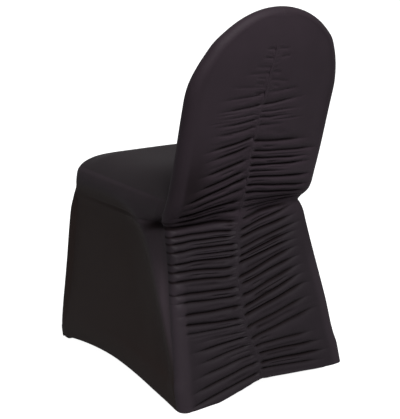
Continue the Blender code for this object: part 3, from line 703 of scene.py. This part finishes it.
class MaterialShop:
    """Makes the cover's materials from finishes."""

    def __init__(self) -> None:
        """Builds the shared shader groups."""
        self.groups = NodeGroups()

    def cloth(self, slot: str, finish: ClothFinish) -> bpy.types.Material:
        """A stretch knit: near black, satin, with a soft sheen at a glance.

        Args:
            slot: the piece's material slot in the record.
            finish: the piece's finish.

        Returns:
            The material.
        """
        material = self.plain(f"{slot}_cloth", finish.colour, finish.roughness)
        tree = material.node_tree
        pattern = add_node(tree, "UVMap", uv_map="pattern")
        knit = add_node(tree, "Group", node_tree=self.groups.knit)
        feed(knit, {"Vector": pattern.outputs["UV"], "Depth": finish.knit_depth})
        tone = add_node(tree, "Group", node_tree=self.groups.tone)
        feed(tone, {
            "Vector": add_node(tree, "TexCoord").outputs["Object"],
            "Cloth": (*finish.colour, 1.0),
            "Span": (*(finish.span_colour or finish.colour), 1.0),
            "Crease": (*finish.crease_colour, 1.0),
            "Roughness": finish.roughness,
        })
        # The mesh masks of painted shade and painted highlight feed the tone group.
        for mask, socket in MASK_SOCKETS.items():
            feed(tone, {socket: add_node(tree, "Attribute", attribute_name=mask).outputs["Fac"]})
        feed(tree.nodes["Principled BSDF"], {
            "Base Color": tone.outputs["Colour"],
            "Roughness": tone.outputs["Roughness"],
            "Normal": knit.outputs["Normal"],
            "Specular IOR Level": 0.12,
            "Sheen Weight": finish.sheen,
            "Sheen Roughness": 0.42,
            "Sheen Tint": (0.92, 0.86, 0.94, 1.0),
        })
        return material

    @staticmethod
    def plain(name: str, colour: tuple[float, float, float], roughness: float) -> bpy.types.Material:
        """A single-tone material.

        Args:
            name: the material's name.
            colour: its base colour.
            roughness: its roughness.

        Returns:
            The material.
        """
        material = bpy.data.materials.new(name)
        material.use_nodes = True
        shader = material.node_tree.nodes["Principled BSDF"]
        feed(shader, {"Base Color": (*colour, 1.0), "Roughness": roughness})
        return material


@dataclass
class Panel:
    """A sewn piece of the cover, cut flat to the given width and length in metres."""

    shape: WornShape
    shop: MaterialShop
    node: str
    flat: tuple[float, float]
    cut_area: float
    held: Held
    facing: Vector
    finish: ClothFinish
    thickness: float = 0.9

    def surface(self) -> Surface:
        """The piece's worn surface: its grid of points and its masks."""
        raise NotImplementedError

    def build(self) -> None:
        """Makes the piece, dresses it and puts it in the CAD node's place."""
        surface = self.surface()
        surface.at = self.shape.fitted(surface.at)
        made = grid_mesh(self.node + "_look", surface, self.facing)
        solidify = made.modifiers.new("cloth thickness", "SOLIDIFY")
        solidify.thickness = self.thickness * METRES_PER_MM
        solidify.offset = -1.0
        made.data.materials.append(self.shop.cloth(self.node, self.finish))
        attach(made, "root")
        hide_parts(self.node)
        LOG.info("%s: %d faces", self.node, len(made.data.polygons))


@dataclass
class RearPanel(Panel):
    """A gathered half of the rear, from the top of the dome to the rear hem.

    Its rows follow the folds, so that each row lies at the same share of the way between two of them. The
    puff is how far the gathers stand out beside the seam, and the crown how far the back does between its
    seam and its side.
    """

    half: Half = Half.LEFT
    face_columns: int = 70
    wrap_columns: int = 11
    rows_per_fold: int = 13
    rows_in_dome: int = 126
    fold_gain: float = 1.8
    crease_gain: float = 1.6
    wrinkle_width: float = 2.9
    pucker_depth: float = 3.0
    puff: float = 2.6
    crown: float = 4.0
    seam_groove: float = 0.6
    hem_peak: float = 24.0

    def __post_init__(self) -> None:
        """Lists the folds as columns of numbers, with the hem below them and the dome above them."""
        hem, dome = Fold(SEAM_FOOT, HEM_HEIGHT, 0, 0, 0), Fold(FOLDS_END, FOLDS_END, 0, 0, 0)
        rows = np.array([astuple(fold) for fold in (hem, *FOLDS[self.half], dome)])
        self.seam_heights, self.side_heights, self.begins, self.ends, self.depths = rows.T[:, :, None]
        self.random = np.random.default_rng(41 + self.half.value)

    def _line(self, seam_height: Array, side_height: Array, distance: Array) -> Array:
        """The height along a fold or row: straight from the seam to its reach, then level."""
        width = np.abs(self.half.value * self.shape.face_half(side_height) - self.shape.seam_x(seam_height))
        return mix(seam_height, side_height, np.minimum(1, distance / np.minimum(FOLD_REACH, width)))

    def _window(self, index: Array, distance: Array) -> Array:
        """How far each fold's depth is present at a distance from the seam: it eases in and fades out.

        Args:
            index: which fold, one for each row.
            distance: distances from the seam.

        Returns:
            Shares from 0 to 1, times the fold's depth.
        """
        begins, ends = self.begins[index], self.ends[index]
        window = ease(begins - 16, begins + 10, distance) * fall(ends - 45, ends + 34, distance)
        return self.depths[index] * window

    @staticmethod
    def _valley(away: Array, width: Array, reach: Array) -> Array:
        """A valley between two rolls: a crease that fades as an exponential, on one half of a round roll.

        The roll is one less the sine of the way to its crest, which is half the reach away.

        Args:
            away: distance from the valley's line.
            width: the distance at which it has risen most.
            reach: the distance at which it ends.

        Returns:
            Depths from 1 to 0.
        """
        end = np.exp(-reach / width)
        crease = np.clip((np.exp(-np.sqrt(away**2 + 0.16) / width) - end) / (1 - end), 0, 1)
        roll = 1 - np.sin(np.pi * np.clip(away / reach, 0, 0.5))
        return 0.5 * crease + 0.5 * roll

    def _folds(self, place: Array, distance: Array) -> Array:
        """How deep the cloth is sunk by the folds on either side of each row, and by a crease between.

        Args:
            place: each row's fold number and share of the way to the next.
            distance: distances from the seam.

        Returns:
            Depths in millimetres.
        """
        low = np.minimum(place.astype(int), len(self.depths) - 2)
        share = (place - low)[:, None]
        below, above = (
            self._line(self.seam_heights[fold], self.side_heights[fold], distance)
            for fold in (low, low + 1)
        )
        pitch = np.maximum(above - below, 4)
        width = np.clip(0.2 * pitch, 1.8, 4)
        sunk = self._window(low, distance) * self._valley(share * pitch, width, pitch)
        sunk = sunk + self._window(low + 1, distance) * self._valley((1 - share) * pitch, width, pitch)
        middles, starts, lengths, deep = (
            self.random.uniform(least, most, len(self.depths) - 1)[low][:, None]
            for least, most in ((0.38, 0.62), (8, 60), (50, 150), (0.45, 0.85))
        )
        between = ease(starts - 10, starts + 15, distance)
        between = between * fall(starts + lengths - 45, starts + lengths, distance)
        small = self._valley(np.abs(share - middles) * pitch, 0.09 * pitch, 0.36 * pitch)
        near = np.minimum(self.depths[low], self.depths[low + 1])
        return self.fold_gain * sunk + self.crease_gain * deep * ease(8, 14, pitch) * near * between * small

    def _small(self, x: Array, distance: Array, height: Array) -> Array:
        """How deep the cloth is sunk by the short wrinkles and the puckers beside the seam.

        A wrinkle is a valley along its line, faded in and out at its ends. The puckers are a wave in
        height whose pitch wanders, strongest a finger's width from the seam.

        Args:
            x: across the chair.
            distance: distance from the seam.
            height: height of each point.

        Returns:
            Depths in millimetres.
        """
        sunk = np.zeros_like(height)
        for wrinkle in WRINKLES[self.half]:
            run = np.array((wrinkle.far_x - wrinkle.near_x, wrinkle.far_height - wrinkle.near_height))
            along = ((x - wrinkle.near_x) * run[0] + (height - wrinkle.near_height) * run[1]) / (run @ run)
            line = wrinkle.near_height + run[1] * np.clip(along, 0, 1)
            reach = ease(-0.25, 0.15, along) * fall(0.7, 1.25, along)
            sunk += wrinkle.depth * reach * np.exp(-np.sqrt((height - line) ** 2 + 0.3) / self.wrinkle_width)
        wander = 0.9 * np.sin(height / 23) + 0.5 * np.sin(height / 9.7 + 1.3 * self.half.value)
        slant = -0.16 * distance * ease(430, 500, height) + 0.10 * distance * fall(380, 430, height)
        phase = (height + slant) / PUCKER_PITCH + wander
        pucker = (0.5 - 0.5 * np.abs(np.sin(np.pi * phase))) * ease(3, 8, distance) * fall(10, 30, distance)
        strength = self.pucker_depth - 1.2 * ease(700, 800, height)
        return sunk + pucker * strength * fall(815, 830, height)

    def _rows(self) -> tuple[Array, Array, Array]:
        """The face's rows: as many between every two folds, crowded near them, then the dome's by angle.

        Returns:
            Each row's fold number with its share of the way to the next, its seam height and side height.
        """
        last = len(self.depths) - 1
        place = np.linspace(0, last, last * self.rows_per_fold + 1)
        place = place - np.sin(2 * np.pi * place) * 0.06
        start_angle = self.shape.dome_angle(np.array(FOLDS_END))
        dome = self.shape.dome_height(np.linspace(start_angle, np.pi / 2, self.rows_in_dome)[1:])
        seam_height, side_height = (
            np.concatenate((np.interp(place, np.arange(last + 1), heights[:, 0]), dome))[:, None]
            for heights in (self.seam_heights, self.side_heights)
        )
        return np.concatenate((place, np.full(len(dome), float(last)))), seam_height, side_height

    def _crease_mask(self, share: Array, height: Array, sunk: Array) -> Array:
        """The rear's painted shade: in the folds, at the waist, beside it on the left, and inside the rim.

        Args:
            share: 0 at the seam to 1 at the face's side.
            height: height of each point.
            sunk: how deep the folds and wrinkles sink the cloth there.

        Returns:
            Shares from 0 to 1.
        """
        left = self.half is Half.LEFT
        # Painted shade under the back's overhang at the waist, and on the left over the lower corner of the
        # back.
        waist = 0.75 * hump(height - 405, 11) * ease(0.35, 0.9, share)
        if left:
            low_back = 0.46 * hump(height - 465, 75) * ease(0.4, 0.85, share)
            waist = waist + low_back * ease(400, 412, height)
        least = 3 if left else mix(2.3, 3.6, ease(395, 430, height))
        crease = np.clip((sunk - least) / 4 + waist, 0, 1)
        if left:
            # More painted shade over the left of the lower back, fading towards its rim.
            dusk = 0.70 * hump(height - 500, 75) * ease(0.5, 0.85, share) * ease(405, 430, height)
            crease = np.maximum(crease, dusk * (1 - 0.7 * ease(0.93, 1, share)))
        # Painted shade inside the rim, which dulls the rim's highlight.
        rim_shade = (0.10 if left else 0.18) * ease(0.9, 0.99, share) * ease(560, 680, height)
        return np.maximum(crease, rim_shade)

    def _stretch_mask(self, share: Array, distance: Array, height: Array) -> Array:
        """The rear's painted highlight: along the seam, on the legs, and on the right above the waist.

        Args:
            share: 0 at the seam to 1 at the face's side.
            distance: distance from the seam.
            height: height of each point.

        Returns:
            Shares from 0 to 1.
        """
        stretch = 0.12 * hump(distance, 5) * fall(780, 830, height)
        stretch = stretch + ease(0.90, 0.99, share) * fall(230, 340, height)
        if self.half is Half.RIGHT:
            stretch = stretch + 0.4 * hump(height - 505, 70) * ease(0.1, 0.4, share)
        return stretch

    def surface(self) -> Surface:
        """The rear face with its folds, then the rounded edge and the seam allowances.

        A row's height is its line's, with a slow sway. At the hem the rows come down to an edge that
        peaks at the seam. The face crowns between its sides and lies on the seam's own course beside it.

        Returns:
            The grid of points and its masks.
        """
        side, shape = self.half.value, self.shape
        place, seam_height, side_height = self._rows()
        share = np.linspace(0, 1, self.face_columns) ** 1.3
        start = shape.seam_x(seam_height) + side * SEAM_GAP / 2
        x = mix(start, side * shape.face_half(side_height), share)
        distance = np.abs(x - start)
        height = self._line(seam_height, side_height, distance)
        sway = 1.5 * np.sin(distance / 52 + height / 61)
        sway = sway + 0.35 * np.sin(distance / 15 - height / 25 + side)
        sway = sway * ease(6, 40, distance) * fall(0.75, 0.95, share) * ease(30, 60, height)
        height = height + sway * fall(690, 720, height)
        hem_reach = 125 if self.half is Half.LEFT else 230
        hem = mix(HEM_HEIGHT, self.hem_peak, np.maximum(0, 1 - distance / hem_reach) ** 1.1)
        height = mix(hem, height, ease(SEAM_FOOT, 38, seam_height))
        tilt = 9 * side * share * hump(height - 412, 50) * fall(0.7, 1, share)
        crown = self.crown * (1 - share**2) * ease(430, 520, height) * fall(800, 880, height)
        y = mix(shape.seam_y(height), shape.face_y(height + tilt) + crown, ease(0.03, 0.40, share))
        softer = 1 - 0.2 * ease(600, 680, height)
        sunk = self._folds(place, distance) * softer + self._small(x, distance, height)
        gathered = hump(distance, 120) * ease(20, 60, height) * fall(620, 740, height)
        wraps = ease(170, 290, height) * fall(400, 440, height)
        fade = 1 - ease(0.90, 1, share) * (1 - wraps)
        relief = (self.puff * gathered - sunk) * fade - hem_groove(height - hem) * fall(30, 40, height)
        relief = relief - self.seam_groove * hump(distance, 1.4) * fall(820, 860, height)
        face = points(x, y + relief, height)
        progress = np.linspace(0, 1, self.wrap_columns + 1)[None, 1:]
        wrap = shape.wrap(side, side_height, progress)
        wrap[..., 1] += relief[:, -1:] * fall(0, 0.7, progress)
        seam = shape.side_seam(side, side_height[:, 0])
        wrap[:, -1] = seam.edge(-1)
        inner = face[:, :1] - points(0, LIP_DEPTH, 0)
        at = np.concatenate((inner, face, wrap, seam.lip(-1)[:, None]), axis=1)
        at[-1, :, 0] = side * SEAM_GAP / 2
        # Painted shade in the folds and creases, painted highlight along the seam and legs, and painted shade
        # over the skirt below the waist.
        masks = {
            "crease": self._crease_mask(share, height, sunk * fade),
            "stretch": self._stretch_mask(share, distance, height),
            "membrane": fall(360, 420, height),
        }
        extra = ((0, 0), (1, self.wrap_columns + 1))
        masks = {name: np.pad(mask, extra, mode="edge") for name, mask in masks.items()}
        # More painted highlight round the legs' corners.
        leg = fall(230, 340, side_height) * ease(0.15, 0.7, progress)
        masks["stretch"][:, -self.wrap_columns - 1:-1] += leg
        return Surface(at, masks)


@dataclass
class FrontPanel(Panel):
    """The inside of the back, the seat and the front skirt in one length.

    The seat swells towards the back, and drops from its crown to its front edge.
    """

    columns: int = 81
    rim_columns: int = 7
    edge_drop: float = 14.0
    seat_swell: float = 14.0
    hem_arch: float = 25.0

    def _across(self, ends: Array, *lifts: tuple[Array, float]) -> Array:
        """Rows across the panel, straight between their ends and lifted off that line.

        The columns crowd towards the ends as a sine does. Each lift is added times one less the share
        across raised to its power, so that a high power lifts all but the very edges.

        Args:
            ends: right and left seam points of each row.
            lifts: pairs of each row's lift and its power.

        Returns:
            The rows' points.
        """
        share = crowded(self.columns)[None, :, None]
        at = mix(ends[:, :1], ends[:, 1:], (share + 1) / 2)
        for lift, power in lifts:
            at = at + lift[:, None] * (1 - np.abs(share) ** power)
        return at

    def _inside_back(self) -> tuple[Array, Array]:
        """Rows down the inside of the back, from the top of the dome.

        Returns:
            The rows' points, and the heights of their ends.
        """
        shape = self.shape
        dome = shape.dome_height(np.radians(np.linspace(90, 0, 50)))
        height = np.concatenate((dome, np.linspace(DOME_BASE, INSIDE_FOOT, 30)[1:]))[:, None]
        progress = np.linspace(1, math.pi / RIM_TURN, self.rim_columns)[None]
        inner_y = shape.face_y(height) - 2 * shape.rim(height)
        middle_share = crowded(self.columns)[None, self.rim_columns:-self.rim_columns]
        stretched = middle_share / (middle_share[0, -1] + 0.01)
        middle = points(shape.face_half(height) * stretched, inner_y - 5 * (1 - stretched**2), height)
        wrap = {side: shape.wrap(side, height, progress) for side in (-1, 1)}
        return np.concatenate((wrap[-1], middle, wrap[1][:, ::-1]), axis=1), height[:, 0]

    def surface(self) -> Surface:
        """The whole length, joined row by row, with its side edges on the seams.

        Returns:
            The grid of points and its masks.
        """
        shape = self.shape
        inside, inside_heights = self._inside_back()
        seat_share = np.linspace(0, 1, 70) ** 0.9
        ends = np.stack([shape.seat_seam(side, seat_share).edge(-1) for side in (-1, 1)], axis=1)
        drop = self.edge_drop * ease(0.80, 1, seat_share) ** 1.5
        swell = self.seat_swell * hump(seat_share - 0.18, 0.30)
        seat = self._across(ends, (points(0, 0, SEAT_CROWN - drop + swell), 6))
        tuck_share = np.linspace(0, 1, 14)[1:-1]
        tuck = mix(inside[-1:], seat[:1], tuck_share[:, None, None])
        tuck_heights = mix(INSIDE_FOOT, SEAT_BACK, tuck_share)
        down = np.linspace(0, 1, 120)[1:]
        skirt_heights = SEAT_EDGE - (SEAT_EDGE - HEM_HEIGHT) * down**1.25
        ends = np.stack([shape.front_seam(side, skirt_heights).edge(-1) for side in (-1, 1)], axis=1)
        rounding = 1 - ease(440, SEAT_EDGE, skirt_heights) ** 2
        forward = points(0, -(3.5 + 2 * hump(skirt_heights - 440, 30)), 0)
        round_front = points(0, -6 * rounding * ease(400, 440, skirt_heights), 0)
        crown = points(0, 0, (SEAT_CROWN - self.edge_drop) * ease(405, SEAT_EDGE, skirt_heights))
        arch = points(0, 0, self.hem_arch * fall(0, 200, skirt_heights))
        skirt = self._across(ends, (forward, 44), (round_front, 8), (crown, 6), (arch, 2))
        at = np.concatenate((inside, tuck, seat, skirt), axis=0)
        lips = []
        for column, side in ((0, -1), (-1, 1)):
            back = shape.side_seam(side, np.concatenate((inside_heights, tuck_heights)))
            below = (shape.seat_seam(side, seat_share), shape.front_seam(side, skirt_heights))
            at[:, column] = np.concatenate((back.edge(1), *(seam.edge(-1) for seam in below)))
            lips.append(np.concatenate((back.lip(1), *(seam.lip(-1) for seam in below))))
        at = np.concatenate((lips[0][:, None], at, lips[1][:, None]), axis=1)
        at[0, :, 0] = 0
        at[-len(down):, :, 1] += hem_groove(np.abs(at[-len(down):, :, 2] - at[-1:, :, 2]))
        return Surface(at)


@dataclass
class SidePanel(Panel):
    """A side, from the seat's edge to the side hem.

    The ridge stands out along the line in RIDGE, and the cloth inside it is drawn in by a step and a recess.
    The notch is where the waist's crease ends.
    """

    half: Half = Half.LEFT
    columns: int = 150
    rows: int = 190
    ridge_height: float = 6.5
    step_depth: float = 5.5
    recess_depth: float = 6.0
    notch_depth: float = 11.0
    edge_rounding: float = 6.5
    corner_rounding: float = 3.5
    hem_arch: float = 36.0

    @staticmethod
    def _inside_ridge(y: Array, height: Array) -> Array:
        """Distance inside the ridge, below zero outside it.

        It is the least distance to the ridge's segments, with the sign of an even-odd crossing count.

        Args:
            y: towards the rear.
            height: height of each point.

        Returns:
            Signed distances.
        """
        corners = np.array(RIDGE)
        nearest = np.full(y.shape, 1000.0)
        inside = np.zeros(y.shape, dtype=bool)
        closed = np.vstack((corners, corners[:1]))
        for index, (start, end) in enumerate(zip(closed, closed[1:])):
            run = end - start
            share = np.clip(((y - start[0]) * run[0] + (height - start[1]) * run[1]) / (run @ run), 0, 1)
            away = np.hypot(y - start[0] - run[0] * share, height - start[1] - run[1] * share)
            if index < len(corners) - 1:
                nearest = np.minimum(nearest, away)
            if start[1] != end[1]:
                crossing = start[0] + run[0] * (height - start[1]) / run[1]
                inside ^= ((start[1] > height) != (end[1] > height)) & (y < crossing)
        return np.where(inside, nearest, -nearest)

    def _bulge(self, y: Array, height: Array) -> Array:
        """How far the cloth stands out of the flat between its seams.

        The cloth inside the ridge draws in by an easy step, sharper towards the rear, and goes on
        sinking slowly. The waist's crease runs on a little way into the side, and before it the cloth is
        carried smoothly from the seat's edge to the leg.

        Args:
            y: towards the rear.
            height: height of each point.

        Returns:
            Distances outwards.
        """
        inside = self._inside_ridge(y, height)
        sharp = ease(-60, 60, y)
        ridge = mix(1.6, self.ridge_height, sharp) * hump(inside, 30)
        ridge = ridge * ease(0, 90, height) * ease(-30, 240, height)
        near_step = self.step_depth * ease(-8, mix(60, 30, sharp), inside) * ease(0, 120, height)
        recess = self.recess_depth * ease(0, 110, inside) * ease(0, 220, height)
        carried = 5.5 * hump(height - 406, 14) * hump(y - 45, 48)
        return ridge + carried - near_step - recess - self.notch_depth * self._notch(y, height)

    @staticmethod
    def _notch(y: Array, height: Array) -> Array:
        """The end of the waist's crease on the side: a bell curve off a short slanting line, fading along it.

        Args:
            y: towards the rear.
            height: height of each point.

        Returns:
            Shares from 0 to 1.
        """
        along = np.clip((126 - y) / 42, 0, 1)
        off = np.hypot(y - mix(126, 84, along), height - mix(408, 392, along))
        return hump(off, 12) * (1 - 0.6 * along)

    def surface(self) -> Surface:
        """The side between its seams: straight from seam to seam, then rounded off below the seat's edge.

        The rounding below the seat is a rise towards its depth as an exponential, and the rounding at the
        front leg is one less a high power of the share across.

        Returns:
            The grid of points and its masks.
        """
        side, shape = self.half.value, self.shape
        place = np.linspace(0, 1, self.rows)[1:] ** 1.1 * (len(SIDE_ROWS) - 1)
        top = np.array((0, 1.2, 3, 5.4))
        rear_heights, front_heights = (
            np.concatenate((edge - top, np.interp(place, np.arange(len(SIDE_ROWS)), heights)))
            for edge, heights in ((SEAT_BACK, SIDE_ROWS[:, 0]), (SEAT_EDGE, SIDE_ROWS[:, 1]))
        )
        rear, front = shape.side_seam(side, rear_heights), shape.front_seam(side, front_heights)
        share = (1 + crowded(self.columns)[None]) / 2
        at = mix(rear.edge(1)[:, None], front.edge(1)[:, None], share[..., None])
        seat = shape.seat_seam(side, share[0])
        base_x, y, height = np.abs(at[..., 0]), at[..., 1], at[..., 2]
        below = np.maximum(0, seat.at[None, :, 2] - height)
        edges = ease(0, 0.06, share) * ease(0, 0.05, 1 - share)
        arch = np.maximum(0, 1 - np.abs((y + 15) / 268) ** 1.8)
        raised = height + self.hem_arch * arch * fall(0, 200, height)
        rounding = self.edge_rounding * (1 - np.exp(-below / 13)) * fall(30, 110, below) * edges
        corner = self.corner_rounding * (1 - share**50) * ease(0, 0.2, share) * ease(0, 8, below)
        x = base_x + rounding + corner + self._bulge(y, raised) * edges * ease(0, 26, below)
        x = x - hem_groove(raised - raised[-1:])
        at = points(side * x, y, raised)
        at[:, 0], at[:, -1] = rear.edge(1), front.edge(1)
        at[0] = seat.edge(1)
        lips = np.concatenate((rear.lip(1)[:, None], at, front.lip(1)[:, None]), axis=1)
        first = lips[:1].copy()
        first[0, 1:-1] = seat.lip(1)
        grid = np.concatenate((first, lips), axis=0)
        # Painted shade on the recess inside the ridge and in the notch, and painted highlight on the band
        # between the ridge and the leg.
        membrane = ease(-6, 20, self._inside_ridge(y, raised))
        leg = fall(230, 360, raised) * ease(60, 120, y)
        masks = {
            "membrane": membrane,
            "crease": np.minimum(1, 1.8 * self._notch(y, raised)),
            "stretch": 1.6 * (1 - membrane) * leg,
        }
        extra = ((1, 0), (1, 1))
        return Surface(grid, {name: np.pad(mask, extra, mode="edge") for name, mask in masks.items()})


@dataclass
class FootPocket(Panel):
    """A cup in the hem's corner, which a foot of the chair stands in and leans with."""

    foot: tuple[float, float] = (0.0, 0.0)
    lean: tuple[float, float] = (0.0, 0.0)
    half_size: float = 14.0
    height: float = 26.0

    def surface(self) -> Surface:
        """The cup: rings of a rounded square from the middle of its sole out and up its wall.

        A ring's x and y are the square roots of the cosine's and sine's sizes, with their signs.

        Returns:
            The grid of points and its masks.
        """
        turn = np.linspace(0, 2 * np.pi, 57)[None]
        reach = self.half_size * np.array((0, 0.5, 0.85, 0.95, 0.99, 1, 1, 1))[:, None]
        height = np.array((0, 0, 0, 0.6, 2, 5, 15, self.height))[:, None]
        x, y = (
            middle + lean * height / self.height + np.sign(wave) * np.sqrt(np.abs(wave)) * reach
            for middle, lean, wave in zip(self.foot, self.lean, (np.cos(turn), np.sin(turn)))
        )
        return Surface(points(x, y, height))


@dataclass
class Studio:
    """The pale floor, the soft lights and the camera, in metres."""

    floor_reach: float = 60.0
    floor_glow: float = 0.98
    surround: float = 0.21

    def floor(self) -> None:
        """A plain pale floor that runs out of view; it glows to the camera's eye alone."""
        mesh = bpy.data.meshes.new("floor")
        turns = ((-1, -1), (1, -1), (1, 1), (-1, 1))
        rim = [(x * self.floor_reach, y * self.floor_reach, 0.0) for x, y in turns]
        mesh.from_pydata(rim, [], [(0, 1, 2, 3)])
        made = bpy.data.objects.new("floor", mesh)
        bpy.context.scene.collection.objects.link(made)
        white = MaterialShop.plain("floor_white", (0.45, 0.45, 0.45), 0.9)
        seen = add_node(white.node_tree, "LightPath").outputs["Is Camera Ray"]
        glow = add_node(white.node_tree, "Math", {0: seen, 1: self.floor_glow}, operation="MULTIPLY")
        feed(
            white.node_tree.nodes["Principled BSDF"],
            {"Emission Color": (1.0, 1.0, 1.0, 1.0), "Emission Strength": glow.outputs[0]},
        )
        mesh.materials.append(white)
        made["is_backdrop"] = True

    @staticmethod
    def place(data: bpy.types.Light | bpy.types.Camera, at: Vector, look: Quaternion) -> bpy.types.Object:
        """Puts a light or camera into the scene.

        Args:
            data: the light or camera.
            at: where it hangs.
            look: how it is turned.

        Returns:
            Its object.
        """
        made = bpy.data.objects.new(data.name, data)
        made.location = at
        made.rotation_mode = "QUATERNION"
        made.rotation_quaternion = look
        bpy.context.scene.collection.objects.link(made)
        return made

    def lights(self) -> None:
        """A wide soft light from above, even over the whole floor, and a square one high behind the cover."""
        overhead = bpy.data.lights.new("overhead light", "SUN")
        overhead.energy = 1.9
        overhead.angle = math.radians(30.0)
        self.place(overhead, Vector(), Vector((0.05, -0.6, -1.0)).to_track_quat("-Z", "Y"))
        softbox = bpy.data.lights.new("high softbox", "AREA")
        softbox.size = 0.8
        softbox.energy = 9.0
        at = Vector((0.35, 0.95, 1.4))
        self.place(softbox, at, (COVER_MIDDLE - at).to_track_quat("-Z", "Y"))

    def camera(self) -> None:
        """The camera at the photo's place: behind the chair's left, a little above the seat."""
        lens = bpy.data.cameras.new("camera")
        lens.lens = FOCAL_LENGTH
        lens.shift_x, lens.shift_y = VIEW_SHIFT
        lens.clip_end = 200.0
        look = (CAMERA_TARGET - CAMERA_PLACE).to_track_quat("-Z", "Y")
        turned = look @ Quaternion((0.0, 0.0, 1.0), CAMERA_ROLL)
        bpy.context.scene.camera = self.place(lens, CAMERA_PLACE, turned)

    def world(self) -> None:
        """An even white surround."""
        scene = bpy.context.scene
        scene.world = bpy.data.worlds.new("studio")
        scene.world.use_nodes = True
        background = scene.world.node_tree.nodes["Background"]
        feed(background, {"Color": (1.0, 1.0, 1.0, 1.0), "Strength": self.surround})
        scene.view_settings.view_transform = "Standard"

    def build(self) -> None:
        """Sets up the whole studio."""
        self.floor()
        self.lights()
        self.camera()
        self.world()


@dataclass
class ChairCover:
    """The whole cover."""

    shape: WornShape = field(default_factory=WornShape)
    shop: MaterialShop = field(default_factory=MaterialShop)

    def build(self) -> None:
        """Makes every piece."""
        parts = (self.shape, self.shop)
        FrontPanel(
            *parts, "front_panel", flat=(0.46, 1.25), cut_area=0.52, held=Held.STRETCHED,
            facing=Vector((0.0, -1.0, 0.4)), finish=FRONT_CLOTH,
        ).build()
        for half in Half:
            RearPanel(
                *parts, f"rear_panel_{half.label}", flat=(0.30, 1.0), cut_area=0.27, held=Held.GATHERED,
                facing=Vector((0.0, 1.0, 0.0)), finish=REAR_CLOTH, half=half,
            ).build()
            SidePanel(
                *parts, f"side_panel_{half.label}", flat=(0.50, 0.45), cut_area=0.20, held=Held.STRETCHED,
                facing=Vector((half.value, 0.0, 0.0)), finish=SIDE_CLOTH, half=half,
            ).build()
            for end, x, y, lean_x, lean_y in FOOT_POCKETS:
                FootPocket(
                    *parts, f"foot_pocket_{end}_{half.label}", flat=(0.075, 0.075), cut_area=0.0030,
                    held=Held.STRETCHED, facing=Vector((0.0, 0.0, -1.0)), finish=SIDE_CLOTH,
                    foot=(half.value * x, y), lean=(half.value * lean_x, lean_y),
                ).build()


def corners() -> list[list[float]]:
    """The lowest and highest corners of all pieces now in the scene, in metres."""
    low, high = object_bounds()
    return [[round(value, 5) for value in low], [round(value, 5) for value in high]]


def main() -> None:
    """Builds the cover and its studio."""
    logging.basicConfig(level=logging.INFO, format="%(name)s: %(message)s")
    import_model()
    ChairCover().build()
    Studio().build()


if __name__ == "__main__":
    main()
